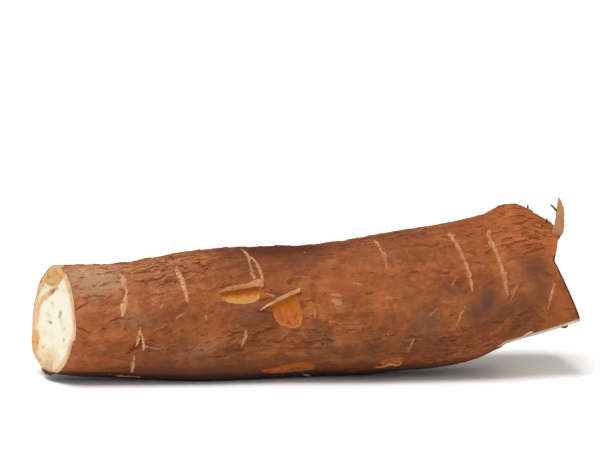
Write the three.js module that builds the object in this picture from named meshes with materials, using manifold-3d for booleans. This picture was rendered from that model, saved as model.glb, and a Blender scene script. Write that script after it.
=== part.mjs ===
// Cassava root lying on its side, in millimetres: a knife cut at the thin end, a chopped neck at
// the other. X runs along the root from the thin end to the neck, Z is up, and the root rests on a
// small flat spot in the plane z = 0. Angles go round the root in degrees: 0 faces -Y, 90 is up,
// 180 faces +Y and -90 is down. The root grew as one piece, so everything is fused into one solid.
import * as THREE from 'three';
import { mergeVertices } from 'three/addons/utils/BufferGeometryUtils.js';
import Module from 'manifold-3d';

const wasm = await Module();
wasm.setup();

// ---------------------------------------------------------------- the root's outline, [x, value]
const topLine = [[-136, 55.8], [-95, 54.6], [-58, 59.8], [-20, 63], [20, 66.4],
  [62, 71], [86, 76], [102, 81.4], [118, 73.6], [140, 62.8]];
const bottomLine = [[-136, 5.6], [-92, 1.6], [-56, -0.8], [32, -0.8], [66, 3.2],
  [82, 6.4], [96, 12.4], [140, 19.6]];
const halfWidthLine = [[-136, 23], [-108, 26.6], [-56, 30.6], [8, 32.4], [76, 34.8], [108, 32], [140, 28]];
const sidewaysLine = [[-136, 0], [-50, 1.9], [40, -0.4], [140, 1.4]];
const bodyEnds = [-136, 140];
const bodyStations = 52;
const bodySides = 40;

// ---------------------------------------------------------------- the cut ends
const knifeCut = { x: -120.7, z: 28, turnDeg: 21, leanDeg: 5.7 };
// The chopped neck in side view, [x, z] from the underside up to past the crown.
const chopLine = [[94.6, 16.5], [130.4, 27.9], [116.2, 57.8], [118.7, 64.2], [120.3, 68.5], [118, 95]];
const peelThick = 2.5;
const peelGroove = { wide: 0.7, deep: 0.5 };

// ---------------------------------------------------------------- what grew or tore on the bark
// Raised corky scars run round the root: x at mid height, angles, slant in x, width.
const scars = [
  { x: -88, from: 15, to: 64, slant: -3, wide: 2.4 },
  { x: -60, from: 22, to: 60, slant: -4, wide: 2.2 },
  { x: -28, from: 37, to: 80, slant: -4, wide: 1.5 },
  { x: -24.4, from: 34, to: 64, slant: -3.2, wide: 1.5 },
  { x: 34, from: 37, to: 72, slant: -4, wide: 1.8 },
  { x: 72, from: 12, to: 66, slant: -5.8, wide: 2 },
  { x: 89, from: -3, to: 54, slant: -6.8, wide: 2.4 },
  { x: -31, from: -20, to: -6, slant: 1.3, wide: 1.4 },
  { x: -80.7, from: -14, to: 3, slant: 1.9, wide: 1.4 },
  { x: -83.5, from: -48, to: -26, slant: 1, wide: 1.6 },
  { x: 47, from: -40, to: -25, slant: 1.3, wide: 1.3 },
  { x: 114, from: -19, to: 2, slant: 3, wide: 1.3 },
  { x: -70, from: 122, to: 165, slant: 3, wide: 2.2 },
  { x: -38, from: 150, to: 204, slant: -3, wide: 2 },
  { x: 4, from: 108, to: 150, slant: 4, wide: 2 },
  { x: 12, from: 188, to: 226, slant: 2, wide: 1.6 },
  { x: 52, from: 132, to: 180, slant: -4, wide: 2.3 },
  { x: 92, from: 140, to: 186, slant: 5, wide: 2 },
  { x: -100, from: 184, to: 226, slant: -2, wide: 1.8 },
  { x: 68, from: 206, to: 240, slant: 3, wide: 1.6 },
];
const scarRise = 0.7;
// Shallow places where the outer bark is torn off: centre, half sizes along and round in mm, depth.
const tears = [
  { x: -32.4, deg: 25, along: 9.8, round: 4.2, deep: 0.9 },
  { x: -11.5, deg: 7, along: 7.8, round: 7, deep: 0.9 },
  { x: -13.6, deg: -56, along: 14, round: 3, deep: 0.6 },
  { x: 39, deg: -43, along: 6, round: 3, deep: 0.9 },
  { x: 24, deg: 154, along: 10, round: 5.5, deep: 0.9 },
  { x: -78, deg: 196, along: 8, round: 4.5, deep: 0.9 },
];
// Flaps of bark folded out along the upper edge of a tear: hinge ends as [x, deg], reach, rise.
const flaps = [
  { from: [-42.2, 30], to: [-22.8, 33.5], reach: 2.6, rise: 0.2 },
  { from: [-23, 12.6], to: [-5.2, 25.6], reach: 3, rise: 0.8 },
  { from: [32, -50.5], to: [43, -49], reach: 2, rise: -0.6 },
  { from: [16, 161.5], to: [31, 160], reach: 2.8, rise: 0.6 },
];
const barkThick = 1.3;
// The bark splinter standing up at the neck: y and the left and right edge in x at each height.
const splinter = {
  heel: [118.6, -12.8, 63],
  rings: [
    { z: 66, y: -13.8, left: 118, right: 120.4 },
    { z: 70, y: -14.8, left: 117.4, right: 122.8 },
    { z: 75.5, y: -15.4, left: 118.5, right: 123.1 },
    { z: 81, y: -15.6, left: 119.2, right: 122.7 },
    { z: 84.5, y: -15.3, left: 119.5, right: 121.7 },
  ],
  tip: [120.2, -14.9, 87.1],
  thick: 1.1,
};
const chip = { at: [123, -17.6, 25.2], size: [4.6, 3.6, 2.8] };
// Short rootlets, each from a point in the bark to its free end.
const rootlets = [
  { x: 115.6, deg: 72, long: 2.6, lean: [0.4, 0] },
  { x: 108.4, deg: 91, long: 1.9, lean: [0.3, 0] },
  { x: -46, deg: 168, long: 4.5, lean: [2, 1.4] },
  { x: 60, deg: 196, long: 4, lean: [-2, -1] },
];
const splinterFibre = { from: [119.6, -15.4, 80], to: [116.1, -15, 83.6] };
const fibreThick = 1;
// Small bark scales with a lifted lower edge, thickest over the top and far side of the root.
const scaleRule = { count: 66, seed: 11, long: [8, 17], wide: [2.4, 4], lift: [0.55, 1], from: 42, to: 205 };

// ---------------------------------------------------------------- surface of the root
// A smooth line through [x, value] points.
function along(line, x) {
  const last = line.length - 1;
  let k = 0;
  while (k < last - 1 && x > line[k + 1][0]) k += 1;
  const slope = (i) => {
    const a = line[Math.max(i - 1, 0)];
    const b = line[Math.min(i + 1, last)];
    return (b[1] - a[1]) / (b[0] - a[0]);
  };
  const [x0, v0] = line[k];
  const [x1, v1] = line[k + 1];
  const h = x1 - x0;
  const t = (x - x0) / h;
  return (2 * t ** 3 - 3 * t ** 2 + 1) * v0 + (t ** 3 - 2 * t ** 2 + t) * h * slope(k)
    + (3 * t ** 2 - 2 * t ** 3) * v1 + (t ** 3 - t ** 2) * h * slope(k + 1);
}

// Slow swellings and hollows of the root, in millimetres.
function swelling(x, angle) {
  return 0.8 * Math.sin(x / 23 + 1.1) * Math.cos(2 * angle - 0.6)
    + 0.55 * Math.sin(x / 13 + 2 * angle + 0.8)
    + 0.4 * Math.sin(3 * angle + x / 31);
}

// The point of the bark at x and an angle, lifted off it by some millimetres.
function onBark(x, deg, lift = 0) {
  const angle = THREE.MathUtils.degToRad(deg);
  const top = along(topLine, x);
  const bottom = along(bottomLine, x);
  const across = Math.cos(angle) / along(halfWidthLine, x);
  const upright = Math.sin(angle) / ((top - bottom) / 2);
  const r = 1 / Math.hypot(across, upright) + swelling(x, angle) + lift;
  const y = along(sidewaysLine, x) - r * Math.cos(angle);
  return new THREE.Vector3(x, y, (top + bottom) / 2 + r * Math.sin(angle));
}

// ---------------------------------------------------------------- closed meshes and solids
// Skins a run of equal rings and closes it with a point at each end.
function spindle(firstTip, rings, lastTip) {
  const sides = rings[0].length;
  const points = [firstTip, ...rings.flat(), lastTip];
  const ringStart = (i) => 1 + i * sides;
  const index = [];
  for (let j = 0; j < sides; j += 1) {
    const next = (j + 1) % sides;
    index.push(0, ringStart(0) + next, ringStart(0) + j);
    for (let i = 0; i + 1 < rings.length; i += 1) {
      const a = ringStart(i) + j;
      const b = ringStart(i) + next;
      const c = ringStart(i + 1) + j;
      const d = ringStart(i + 1) + next;
      index.push(a, b, d, a, d, c);
    }
    index.push(points.length - 1, ringStart(rings.length - 1) + j, ringStart(rings.length - 1) + next);
  }
  const geometry = new THREE.BufferGeometry().setFromPoints(points);
  geometry.setIndex(index);
  return geometry;
}

function solid(geometry) {
  const bare = geometry.clone();
  bare.deleteAttribute('normal');
  bare.deleteAttribute('uv');
  const merged = mergeVertices(bare, 1e-4);
  const triVerts = new Uint32Array(merged.index.array);
  const vertProperties = new Float32Array(merged.attributes.position.array);
  const made = new wasm.Manifold(new wasm.Mesh({ numProp: 3, vertProperties, triVerts }));
  if (made.volume() > 0) return made;
  return new wasm.Manifold(new wasm.Mesh({ numProp: 3, vertProperties, triVerts: triVerts.reverse() }));
}

function geometryOf(made) {
  const mesh = made.getMesh();
  const geometry = new THREE.BufferGeometry();
  geometry.setAttribute('position', new THREE.BufferAttribute(mesh.vertProperties, 3));
  geometry.setIndex(new THREE.BufferAttribute(mesh.triVerts, 1));
  return geometry;
}

const mix = THREE.MathUtils.lerp;

// ---------------------------------------------------------------- the body and its cuts
function body(lift = 0) {
  const rings = [];
  for (let i = 0; i <= bodyStations; i += 1) {
    const x = mix(bodyEnds[0], bodyEnds[1], i / bodyStations);
    const ring = [];
    for (let j = 0; j < bodySides; j += 1) ring.push(onBark(x, (360 * j) / bodySides, lift));
    rings.push(ring);
  }
  const middle = (ring) => ring.reduce((sum, p) => sum.add(p), new THREE.Vector3()).divideScalar(ring.length);
  return solid(spindle(middle(rings[0]), rings, middle(rings[bodyStations])));
}

// Everything beyond the slanting knife cut of the thin end, or beyond a plane a little deeper in.
function beyondKnife(deeper = 0) {
  const block = new THREE.BoxGeometry(60, 120, 120).translate(-30, 0, 0);
  block.rotateZ(THREE.MathUtils.degToRad(knifeCut.turnDeg));
  block.rotateY(THREE.MathUtils.degToRad(knifeCut.leanDeg));
  return solid(block.translate(knifeCut.x + deeper, 0, knifeCut.z));
}

// What the chops leave of the neck, or a little less, as one slab along Y.
function withinChop(less = 0) {
  const far = 200;
  const rise = less * 0.8;
  const floor = [[-far, -rise], [chopLine[0][0] - 2, -rise]];
  const corners = [...floor, ...chopLine, [chopLine.at(-1)[0], far], [-far, far]];
  const outline = new THREE.Shape(corners.map(([x, z]) => new THREE.Vector2(x, z)));
  const slab = new THREE.ExtrudeGeometry(outline, { depth: 2 * far, bevelEnabled: false });
  return solid(slab.rotateX(Math.PI / 2).translate(-less, far, rise));
}

// ---------------------------------------------------------------- pieces fused to the bark
function scar({ x, from, to, slant, wide }) {
  const steps = Math.max(2, Math.round((to - from) / 14));
  const middle = (from + to) / 2;
  const place = (deg, side, lift) => onBark(x + (slant * (deg - middle)) / (to - from) + side, deg, lift);
  const rings = [];
  for (let i = 1; i < steps; i += 1) {
    const deg = mix(from, to, i / steps);
    const half = (wide / 2) * (i % 2 ? 1.1 : 0.85);
    rings.push([place(deg, -half, -0.9), place(deg, half, -0.9),
      place(deg, half * 0.5, scarRise), place(deg, -half * 0.5, scarRise)]);
  }
  return solid(spindle(place(from, 0, -0.4), rings, place(to, 0, -0.4)));
}

// A disc-like bite that follows the bark at a small depth.
function tear({ x, deg, along: halfLong, round: halfRound, deep }) {
  const sides = 14;
  const mmPerDeg = onBark(x, deg).distanceTo(onBark(x, deg + 1));
  const ring = (size, lift) => Array.from({ length: sides }, (_, j) => {
    const a = (2 * Math.PI * j) / sides;
    return onBark(x + halfLong * size * Math.cos(a), deg + (halfRound * size * Math.sin(a)) / mmPerDeg, lift);
  });
  const rings = [ring(0.5, -deep), ring(0.93, -deep), ring(1, 4)];
  return solid(spindle(onBark(x, deg, -deep), rings, onBark(x, deg, 5)));
}

// A strip of bark standing out from its hinge line, thin at both ends.
function flap({ from, to, reach, rise }) {
  const section = (t, size) => {
    const x = mix(from[0], to[0], t);
    const deg = mix(from[1], to[1], t);
    const root = onBark(x, deg, -1.2);
    const tip = onBark(x, deg, reach * size).add(new THREE.Vector3(0, 0, rise * size));
    const middle = root.clone().lerp(tip, 0.6).add(new THREE.Vector3(0, 0, -0.5 * Math.sign(rise)));
    const up = new THREE.Vector3(0, 0, barkThick);
    return [root, middle, tip, tip.clone().add(up), middle.clone().add(up), root.clone().add(up)];
  };
  const rings = [section(0.08, 0.55), section(0.35, 0.9), section(0.7, 1), section(0.94, 0.85)];
  return solid(spindle(onBark(from[0] - 1, from[1], -0.3), rings, onBark(to[0] + 1, to[1], 0.4)));
}

function standingSplinter({ heel, rings, tip, thick }) {
  const at = ([x, y, z]) => new THREE.Vector3(x, y, z);
  const sections = rings.map(({ z, y, left, right }) => [at([left, y, z]), at([right, y - 0.5, z]),
    at([right, y + thick - 0.5, z]), at([left, y + thick, z])]);
  return solid(spindle(at(heel), sections, at(tip)));
}

// A thin tapering spike, three-sided.
function spike(foot, end, thick) {
  const out = end.clone().sub(foot);
  const axis = out.clone().normalize();
  const side = new THREE.Vector3(0, 1, 0).cross(axis).setLength(thick / 2);
  const ring = (share, size) => [0, 120, 240].map((a) => foot.clone().addScaledVector(out, share)
    .add(side.clone().multiplyScalar(size).applyAxisAngle(axis, THREE.MathUtils.degToRad(a))));
  return solid(spindle(foot, [ring(0.12, 1.2), ring(0.75, 0.85)], end));
}

function rootlet({ x, deg, long, lean }) {
  const end = onBark(x, deg, long).add(new THREE.Vector3(lean[0], lean[1], 0));
  return spike(onBark(x, deg, -1.2), end, fibreThick);
}

// A torn crumb of peel under the spur's edge.
function hangingChip({ at, size }) {
  const crumb = new THREE.IcosahedronGeometry(0.5, 0);
  return solid(crumb.scale(...size).translate(...at));
}

// One bark scale: flush along its upper edge, lifted along its lower edge, pointed at both ends.
function scale(x, deg, long, wide, lift, slant) {
  const degPerMm = 1 / onBark(x, deg).distanceTo(onBark(x, deg + 1));
  const lower = deg > 90 ? 1 : -1;
  const place = (u, v, off) => onBark(x + u, deg + (v * lower + u * slant) * degPerMm, off);
  const ring = (u, size) => [place(u, -wide * 0.5 * size, -0.5), place(u, wide * 0.5 * size, -0.9),
    place(u, wide * 0.5 * size, lift * size)];
  return solid(spindle(place(-long / 2, 0, -0.5), [ring(-long * 0.2, 0.9), ring(long * 0.22, 1)],
    place(long / 2, 0, -0.5)));
}

function barkScales({ count, seed, long, wide, lift, from, to }) {
  let state = seed;
  const draw = (low = 0, high = 1) => {
    state = (state * 16807) % 2147483647;
    return mix(low, high, state / 2147483647);
  };
  for (let i = 0; i < 4; i += 1) draw();
  return Array.from({ length: count }, (_, i) => {
    const x = mix(-108, 110, (i * 0.754878) % 1) + draw(-3, 3);
    const deg = mix(from, to, (i * 0.56984) % 1) + draw(-4, 4);
    return scale(x, deg, draw(...long), draw(...wide), draw(...lift), draw(-0.06, 0.12));
  });
}

// ---------------------------------------------------------------- the finished root
const grown = [...scars.map(scar), ...flaps.map(flap), ...barkScales(scaleRule), ...rootlets.map(rootlet)];
let root = body();
for (const bite of tears.map(tear)) root = root.subtract(bite);
for (const piece of grown) root = root.add(piece);
root = root.subtract(beyondKnife()).intersect(withinChop());

// A fine groove on both cut ends, where the peel meets the white flesh.
const peelSeam = body(-peelThick).subtract(body(-peelThick - peelGroove.wide));
root = root.subtract(peelSeam.intersect(beyondKnife(peelGroove.deep)));
root = root.subtract(peelSeam.subtract(withinChop(peelGroove.deep)));

const fibreEnds = [splinterFibre.from, splinterFibre.to].map((p) => new THREE.Vector3(...p));
root = root.add(standingSplinter(splinter)).add(spike(...fibreEnds, fibreThick)).add(hangingChip(chip));

const bark = new THREE.MeshStandardMaterial({ color: 0x96593a, roughness: 0.85, metalness: 0 });
const geometry = geometryOf(root);
geometry.computeBoundingBox();
const middle = geometry.boundingBox.getCenter(new THREE.Vector3());
const cassava = new THREE.Mesh(geometry, bark);
cassava.name = 'cassava_root';
cassava.position.set(-middle.x, -middle.y, 0);

const part = new THREE.Group();
part.add(cassava);
export default part;
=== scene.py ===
import math

import bmesh
import bpy
import numpy as np
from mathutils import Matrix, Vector


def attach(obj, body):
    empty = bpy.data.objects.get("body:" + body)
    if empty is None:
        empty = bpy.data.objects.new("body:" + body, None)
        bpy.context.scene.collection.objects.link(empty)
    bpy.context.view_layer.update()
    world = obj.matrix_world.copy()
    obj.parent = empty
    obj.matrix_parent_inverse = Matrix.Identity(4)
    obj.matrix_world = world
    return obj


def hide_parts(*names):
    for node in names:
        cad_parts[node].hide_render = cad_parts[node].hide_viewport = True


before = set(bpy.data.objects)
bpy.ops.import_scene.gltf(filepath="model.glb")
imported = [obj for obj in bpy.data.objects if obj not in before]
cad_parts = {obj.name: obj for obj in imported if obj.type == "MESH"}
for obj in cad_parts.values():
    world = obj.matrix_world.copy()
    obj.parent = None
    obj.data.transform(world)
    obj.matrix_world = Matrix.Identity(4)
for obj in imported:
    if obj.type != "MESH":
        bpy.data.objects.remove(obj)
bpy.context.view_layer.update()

mm = 0.001
centring = np.array([-0.1166, -1.6894, 0.0])  # from the drawing's middle to the frame's origin, mm


finishGain = 0.89  # finishes are mixed this much darker than they look when lit


def rgb(red, green, blue):
    share = [v / 255 for v in (red, green, blue)]
    linear = [s / 12.92 if s <= 0.04045 else ((s + 0.055) / 1.055) ** 2.4 for s in share]
    return [*(finishGain * v for v in linear), 1.0]


class Link:  # one output socket that can stand in a sum or a product
    def __init__(self, net, socket):
        self.net = net
        self.socket = socket

    def other(self, output):  # another output of the same node
        return Link(self.net, self.net.pick(self.socket.node.outputs, output))

    def maths(self, operation, *others):
        return self.net.maths(operation, self, *others)

    def __add__(self, other):
        return self.maths("ADD", other)

    def __sub__(self, other):
        return self.maths("SUBTRACT", other)

    def __rsub__(self, other):
        return self.net.maths("SUBTRACT", other, self)

    def __mul__(self, other):
        return self.maths("MULTIPLY", other)

    def __pow__(self, other):
        return self.maths("POWER", other)

    def __neg__(self):
        return self.maths("MULTIPLY", -1.0)

    __radd__ = __add__
    __rmul__ = __mul__


class Net:  # a node tree while it is being filled
    def __init__(self, tree):
        self.tree = tree
        self.shading = tree.bl_idname == "ShaderNodeTree"

    def pick(self, sockets, key):
        if isinstance(key, int):
            return sockets[key]
        return next((s for s in sockets if s.identifier == key), None) or sockets[key]

    def node(self, kind, settings=None, values=None, output=0):
        made = self.tree.nodes.new(kind)
        for key, value in (settings or {}).items():
            if key == "stops":
                while len(made.color_ramp.elements) < len(value):
                    made.color_ramp.elements.new(0.5)
                for stop, (place, colour) in zip(made.color_ramp.elements, value):
                    stop.position = place
                    stop.color = colour
            else:
                setattr(made, key, value)
        for key, value in (values or {}).items():
            socket = self.pick(made.inputs, key)
            if isinstance(value, Link):
                self.tree.links.new(value.socket, socket)
            else:
                socket.default_value = value
        return Link(self, self.pick(made.outputs, output)) if made.outputs else made

    def maths(self, operation, *values):
        return self.node("ShaderNodeMath", {"operation": operation}, dict(enumerate(values)))

    def attribute(self, name, vector=False):
        if self.shading:
            output = "Vector" if vector else "Fac"
            return self.node("ShaderNodeAttribute", {"attribute_name": name}, None, output)
        kind = "FLOAT_VECTOR" if vector else "FLOAT"
        return self.node("GeometryNodeInputNamedAttribute", {"data_type": kind}, {"Name": name})

    def step(self, value, low, high):  # 0 below low, 1 above high, smooth between
        return self.node("ShaderNodeMapRange", {"interpolation_type": "SMOOTHSTEP"},
                         {"Value": value, "From Min": low, "From Max": high})

    def noise(self, place, scale, detail=2.0, rough=0.5, output="Fac"):
        return self.node("ShaderNodeTexNoise", None,
                         {"Vector": place, "Scale": scale, "Detail": detail, "Roughness": rough}, output)

    def streaks(self, place, along, across, *settings, output="Fac"):
        return self.noise(self.stretched(place, along, across), 1.0, *settings, output=output)

    def wander(self, place, repeats, reach):  # a vector that drifts either way of zero
        drift = self.vector("SUBTRACT", self.noise(place, repeats, 2, output="Color"), (0.5, 0.5, 0.5))
        return self.scaled(drift, reach)

    def vector(self, operation, *values, output="Vector"):
        return self.node("ShaderNodeVectorMath", {"operation": operation}, dict(enumerate(values)), output)

    def split(self, vector):  # its X; other("Y") and other("Z") give the rest
        return self.node("ShaderNodeSeparateXYZ", None, {0: vector})

    def scaled(self, place, factor):
        return self.node("ShaderNodeVectorMath", {"operation": "SCALE"}, {"Vector": place, "Scale": factor})

    def stretched(self, place, along, across):
        return self.vector("MULTIPLY", place, (along, across, across))

    def blend(self, factor, first, second):
        return self.node("ShaderNodeMix", {"data_type": "RGBA"},
                         {"Factor_Float": factor, "A_Color": first, "B_Color": second}, "Result_Color")

    def coats(self, colour, look, layers):  # colours over each other, each where its mask is
        for mask, over in layers:
            colour = self.blend(mask, colour, look[over] if isinstance(over, str) else over)
        return colour

    def objectPlace(self):  # in mm
        return self.scaled(self.node("ShaderNodeTexCoord", None, None, "Object"), 1 / mm)

    def moved(self, geometry, **places):
        return self.node("GeometryNodeSetPosition", None, {"Geometry": geometry, **places})


rootShape = {  # mm, in the drawing's own frame
    "top": [(-136, 55.8), (-95, 54.6), (-58, 59.8), (-20, 63), (20, 66.4), (62, 71), (86, 76), (102, 81.4),
            (118, 73.6), (140, 62.8)],
    "bottom": [(-136, 3.6), (-92, 0.6), (-56, -0.8), (16, -0.8), (34, 0.7), (48, 2.5), (66, 3.7), (82, 6.6),
               (96, 12.4), (140, 19.6)],
    "halfWidth": [(-136, 23), (-108, 26.6), (-56, 30.6), (8, 32.4), (76, 34.8), (108, 32), (140, 28)],
    "sideways": [(-136, 0), (-50, 1.9), (40, -0.4), (140, 1.4)],
    "unrolledRadius": 32.0,
    "swells": (0.8, 0.55, 0.4),  # broad, twisting and threefold
    "levelTop": [(-136, 55.8), (-58, 59.8), (62, 71), (86, 73.5), (140, 75)],  # without the neck's swelling
    "levelling": 1.5,  # degrees for each mm of swelling
    "mmPerDegree": 0.56,
    "levelled": (-0.2, 0.9),  # only on the upper side
    "cuts": [(-137, -96), (84, 139)],  # where to look for the two ends
    "cutStep": 0.05,
    "stepsAlong": 306,
    "stepsAround": 290,
}


def along(line, x):  # a smooth line through (x, value) points
    xs, values = np.array(line, float).T
    low = np.maximum(np.arange(len(xs)) - 1, 0)
    high = np.minimum(np.arange(len(xs)) + 1, len(xs) - 1)
    slope = (values[high] - values[low]) / (xs[high] - xs[low])
    k = np.clip(np.searchsorted(xs, x, side="right") - 1, 0, len(xs) - 2)
    h = xs[k + 1] - xs[k]
    t = (x - xs[k]) / h
    return ((2 * t**3 - 3 * t**2 + 1) * values[k] + (t**3 - 2 * t**2 + t) * h * slope[k]
            + (3 * t**2 - 2 * t**3) * values[k + 1] + (t**3 - t**2) * h * slope[k + 1])


def onBark(x, deg, lift=0.0):  # the bark's point at x and an angle round the root, mm
    x, deg, lift = np.broadcast_arrays(np.asarray(x, float), deg, lift)
    angle = np.radians(deg)
    top = along(rootShape["top"], x)
    bottom = along(rootShape["bottom"], x)
    width = along(rootShape["halfWidth"], x)
    broad, twisting, threefold = rootShape["swells"]
    swelling = (broad * np.sin(x / 23 + 1.1) * np.cos(2 * angle - 0.6)
                + twisting * np.sin(x / 13 + 2 * angle + 0.8) + threefold * np.sin(3 * angle + x / 31))
    r = 1 / np.hypot(np.cos(angle) / width, np.sin(angle) / ((top - bottom) / 2)) + swelling + lift
    y = along(rootShape["sideways"], x) - r * np.cos(angle)
    return np.stack([x, y, (top + bottom) / 2 + r * np.sin(angle)], -1)


def unrolled(x, deg):  # the same place on a straight round bar, for patterns
    x, deg = np.broadcast_arrays(np.asarray(x, float), deg)
    swelling = along(rootShape["top"], x) - np.interp(x, *np.array(rootShape["levelTop"], float).T)
    upper = ease(np.sin(np.radians(deg)), *rootShape["levelled"])
    angle = np.radians(deg + rootShape["levelling"] * swelling * upper)
    radius = rootShape["unrolledRadius"]
    return np.stack([x, -radius * np.cos(angle), radius * np.sin(angle)], -1)


def ease(value, low, high):
    t = np.clip((value - low) / (high - low), 0, 1)
    return t * t * (3 - 2 * t)


def blob(u, v, spot):  # a spot's amount at its middle, fading over its size
    middleU, middleV, wide, high, amount = spot
    return amount * np.exp(-((u - middleU) / wide) ** 2 - ((v - middleV) / high) ** 2)


def spotCover(u, v, spots):  # the strongest of several spots
    return np.max([blob(u, v, spot) for spot in spots], axis=0)


def onSegment(u, v, start, end):  # share along a straight line, and distance from it
    (au, av), (bu, bv) = start, end
    t = np.clip(((u - au) * (bu - au) + (v - av) * (bv - av)) / ((bu - au) ** 2 + (bv - av) ** 2), 0, 1)
    return t, np.hypot(u - au - t * (bu - au), v - av - t * (bv - av))


def outlineGap(u, v, corners):  # distance to a closed outline, negative inside it
    gap = np.full(np.shape(u), np.inf)
    inside = np.zeros(np.shape(u), bool)
    for start, end in zip(corners, corners[1:] + corners[:1]):
        gap = np.minimum(gap, onSegment(u, v, start, end)[1])
        (au, av), (bu, bv) = start, end
        if av != bv:
            inside ^= ((av > v) != (bv > v)) & (u < au + (bu - au) * (v - av) / (bv - av))
    return np.where(inside, -gap, gap)


strokeEdge = (0.45, 1.35)  # shares of the half width between which a stroke fades


def strokeCover(u, v, path):  # 1 on a line of (u, v, width) points, 0 off it
    cover = np.zeros(np.shape(u))
    for (*start, startWide), (*end, endWide) in zip(path, path[1:]):
        t, far = onSegment(u, v, start, end)
        half = (startWide + (endWide - startWide) * t) / 2
        cover = np.maximum(cover, 1 - ease(far, half * strokeEdge[0], half * strokeEdge[1]))
    return cover


cutFace = {  # the knife cut at the thin end, places in mm across and up
    "x": -120.7, "z": 28.0, "turn": 0.3858, "lean": 0.0998,
    "bumps": [  # (across, up, wide, high, push along the root)
        (22, 9, 10, 9, -2.7), (26, 28, 8, 11, -1.1), (12, 51, 9, 5, 0.8), (-6, 31, 12, 14, 0.35),
        (9.5, 50, 3.2, 2.4, -0.9), (1, 53, 3.6, 2.4, -0.9), (4.6, 48.4, 2.2, 1.6, 0.7),
        (-5, 54.6, 2.4, 1.8, 0.6), (14, 46.5, 2.6, 2, -0.6), (19, 18, 4, 3.4, -0.35),
    ],
    "lip": {"rise": 0.9, "from": (22.9, 23.8), "to": (27, 37), "y": (14, 20)},
    "groove": [(0.4, 44.2, 1.2), (3.7, 42.8, 3), (7.2, 41.2, 3.8), (11.3, 39.2, 3.8), (15.4, 36.9, 3.4),
               (18.1, 34.2, 3.2), (19.6, 31.3, 3), (19.5, 27.9, 2.6), (19, 24, 1.6)],
    "grooveCore": (5.4, 42, 4.6, 3.4, 1),
    "grooveDepth": 0.4,
    # how strongly the groove is tinted: brownish colour, partly painted shade in it
    "grooveTintAndShade": (0.62, 0.38),
    "scab": [(15.8, 46.2), (17, 49), (9.9, 53.5), (0.4, 56.6), (-6.8, 58.4), (-11.5, 55.8), (-9.4, 53.2),
             (-6.6, 50.4), (-3.8, 47.8), (-0.6, 46), (3.4, 44.9), (7.6, 44.6), (12, 45)],
    "scabRise": 0.8,
    "scabSlope": (-2.6, 0.5),
    "scabStain": (-1.8, 2.2),
}


def knifeX(y, z):
    cut = cutFace
    x = cut["x"] - cut["turn"] * y + cut["lean"] * (z - cut["z"])
    x = x + sum(blob(y, z, bump) for bump in cut["bumps"])
    lip = cut["lip"]
    x = x + lip["rise"] * ease(z, *lip["from"]) * (1 - ease(z, *lip["to"])) * ease(-y, *lip["y"])
    x = x - cut["scabRise"] * (1 - ease(outlineGap(y, z, cut["scab"]), *cut["scabSlope"]))
    return x + cut["grooveDepth"] * strokeCover(y, z, cut["groove"])


chopFace = {  # the rough break at the neck, as a profile of (x, z)
    "line": [(92.6, 0), (94.6, 16.5), (130.4, 27.9), (116.2, 57.8), (118.7, 64.2), (120.3, 68.5), (118, 95)],
    "rounding": 0.4,
}


def chopX(y, z):
    xs, zs = np.array(chopFace["line"], float).T
    return sum(np.interp(z + d * chopFace["rounding"], zs, xs) for d in (-1, -0.33, 0.33, 1)) / 4


def rims(deg):  # where each lengthwise line meets the two cut ends
    ends = []
    for reach, endX in zip(rootShape["cuts"], (knifeX, chopX)):
        tries = np.arange(*reach, rootShape["cutStep"])[:, None]
        p = onBark(tries, deg)
        ends.append(tries[np.argmax(p[..., 0] > endX(p[..., 1], p[..., 2]), axis=0), 0])
    return ends


def addObject(name, data):
    made = bpy.data.objects.new(name, data)
    bpy.context.scene.collection.objects.link(made)
    return made


def addMesh(name, points, faces, edges=(), **attributes):  # points in the drawing's mm
    mesh = bpy.data.meshes.new(name)
    mesh.from_pydata(((points + centring) * mm).tolist(), edges, [list(map(int, f)) for f in faces])
    for key, values in attributes.items():
        values = np.asarray(values, np.float32)
        vector = values.ndim == 2
        layer = mesh.attributes.new(key, "FLOAT_VECTOR" if vector else "FLOAT", "POINT")
        layer.data.foreach_set("vector" if vector else "value", values.ravel())
    mesh.validate()
    mesh.update()
    if faces:
        faceOut(mesh)
    return addObject(name, mesh)


def shellFaces(rings, count, firstTip=0, lastTip=1):  # quads between closed rings, fans to the tips
    j = np.arange(count)
    k = (j + 1) % count
    faces = []
    for a in range(0, (rings - 1) * count, count):
        faces += list(zip(a + j, a + k, a + count + k, a + count + j))
    end = rings * count
    last = end - count
    fans = {firstTip: [(end + firstTip, b, a) for a, b in zip(j, k)],
            lastTip: [(end + lastTip, a, b) for a, b in zip(last + j, last + k)]}
    return faces + fans[0] + fans[1]


def withTips(values):  # the tips take the first and the last value
    return np.concatenate([values, values[:1], values[-1:]])


def loft(name, material, rings, **attributes):  # rings of points in mm
    points = np.vstack([*rings, rings[0].mean(axis=0), rings[-1].mean(axis=0)])
    ready = {key: withTips(values) for key, values in attributes.items()}
    made = addMesh(name, points, shellFaces(len(rings), len(rings[0])), **ready)
    made.data.materials.append(material)
    return made


def faceOut(mesh):  # turns the faces outwards if the shell is inside out
    work = bmesh.new()
    work.from_mesh(mesh)
    if work.calc_volume(signed=True) < 0:
        bmesh.ops.reverse_faces(work, faces=work.faces)
    work.to_mesh(mesh)
    work.free()


def runTree(made, tree, values):  # applies a geometry tree and keeps the plain mesh
    modifier = made.modifiers.new(tree.name, "NODES")
    modifier.node_group = tree
    for item in tree.interface.items_tree:
        if item.item_type == "SOCKET" and item.in_out == "INPUT" and item.name in values:
            modifier[item.identifier] = values[item.name]
    graph = bpy.context.evaluated_depsgraph_get()
    done = made.evaluated_get(graph)
    made.data = bpy.data.meshes.new_from_object(done, preserve_all_data_layers=True, depsgraph=graph)
    made.modifiers.remove(modifier)
    return made


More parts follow.
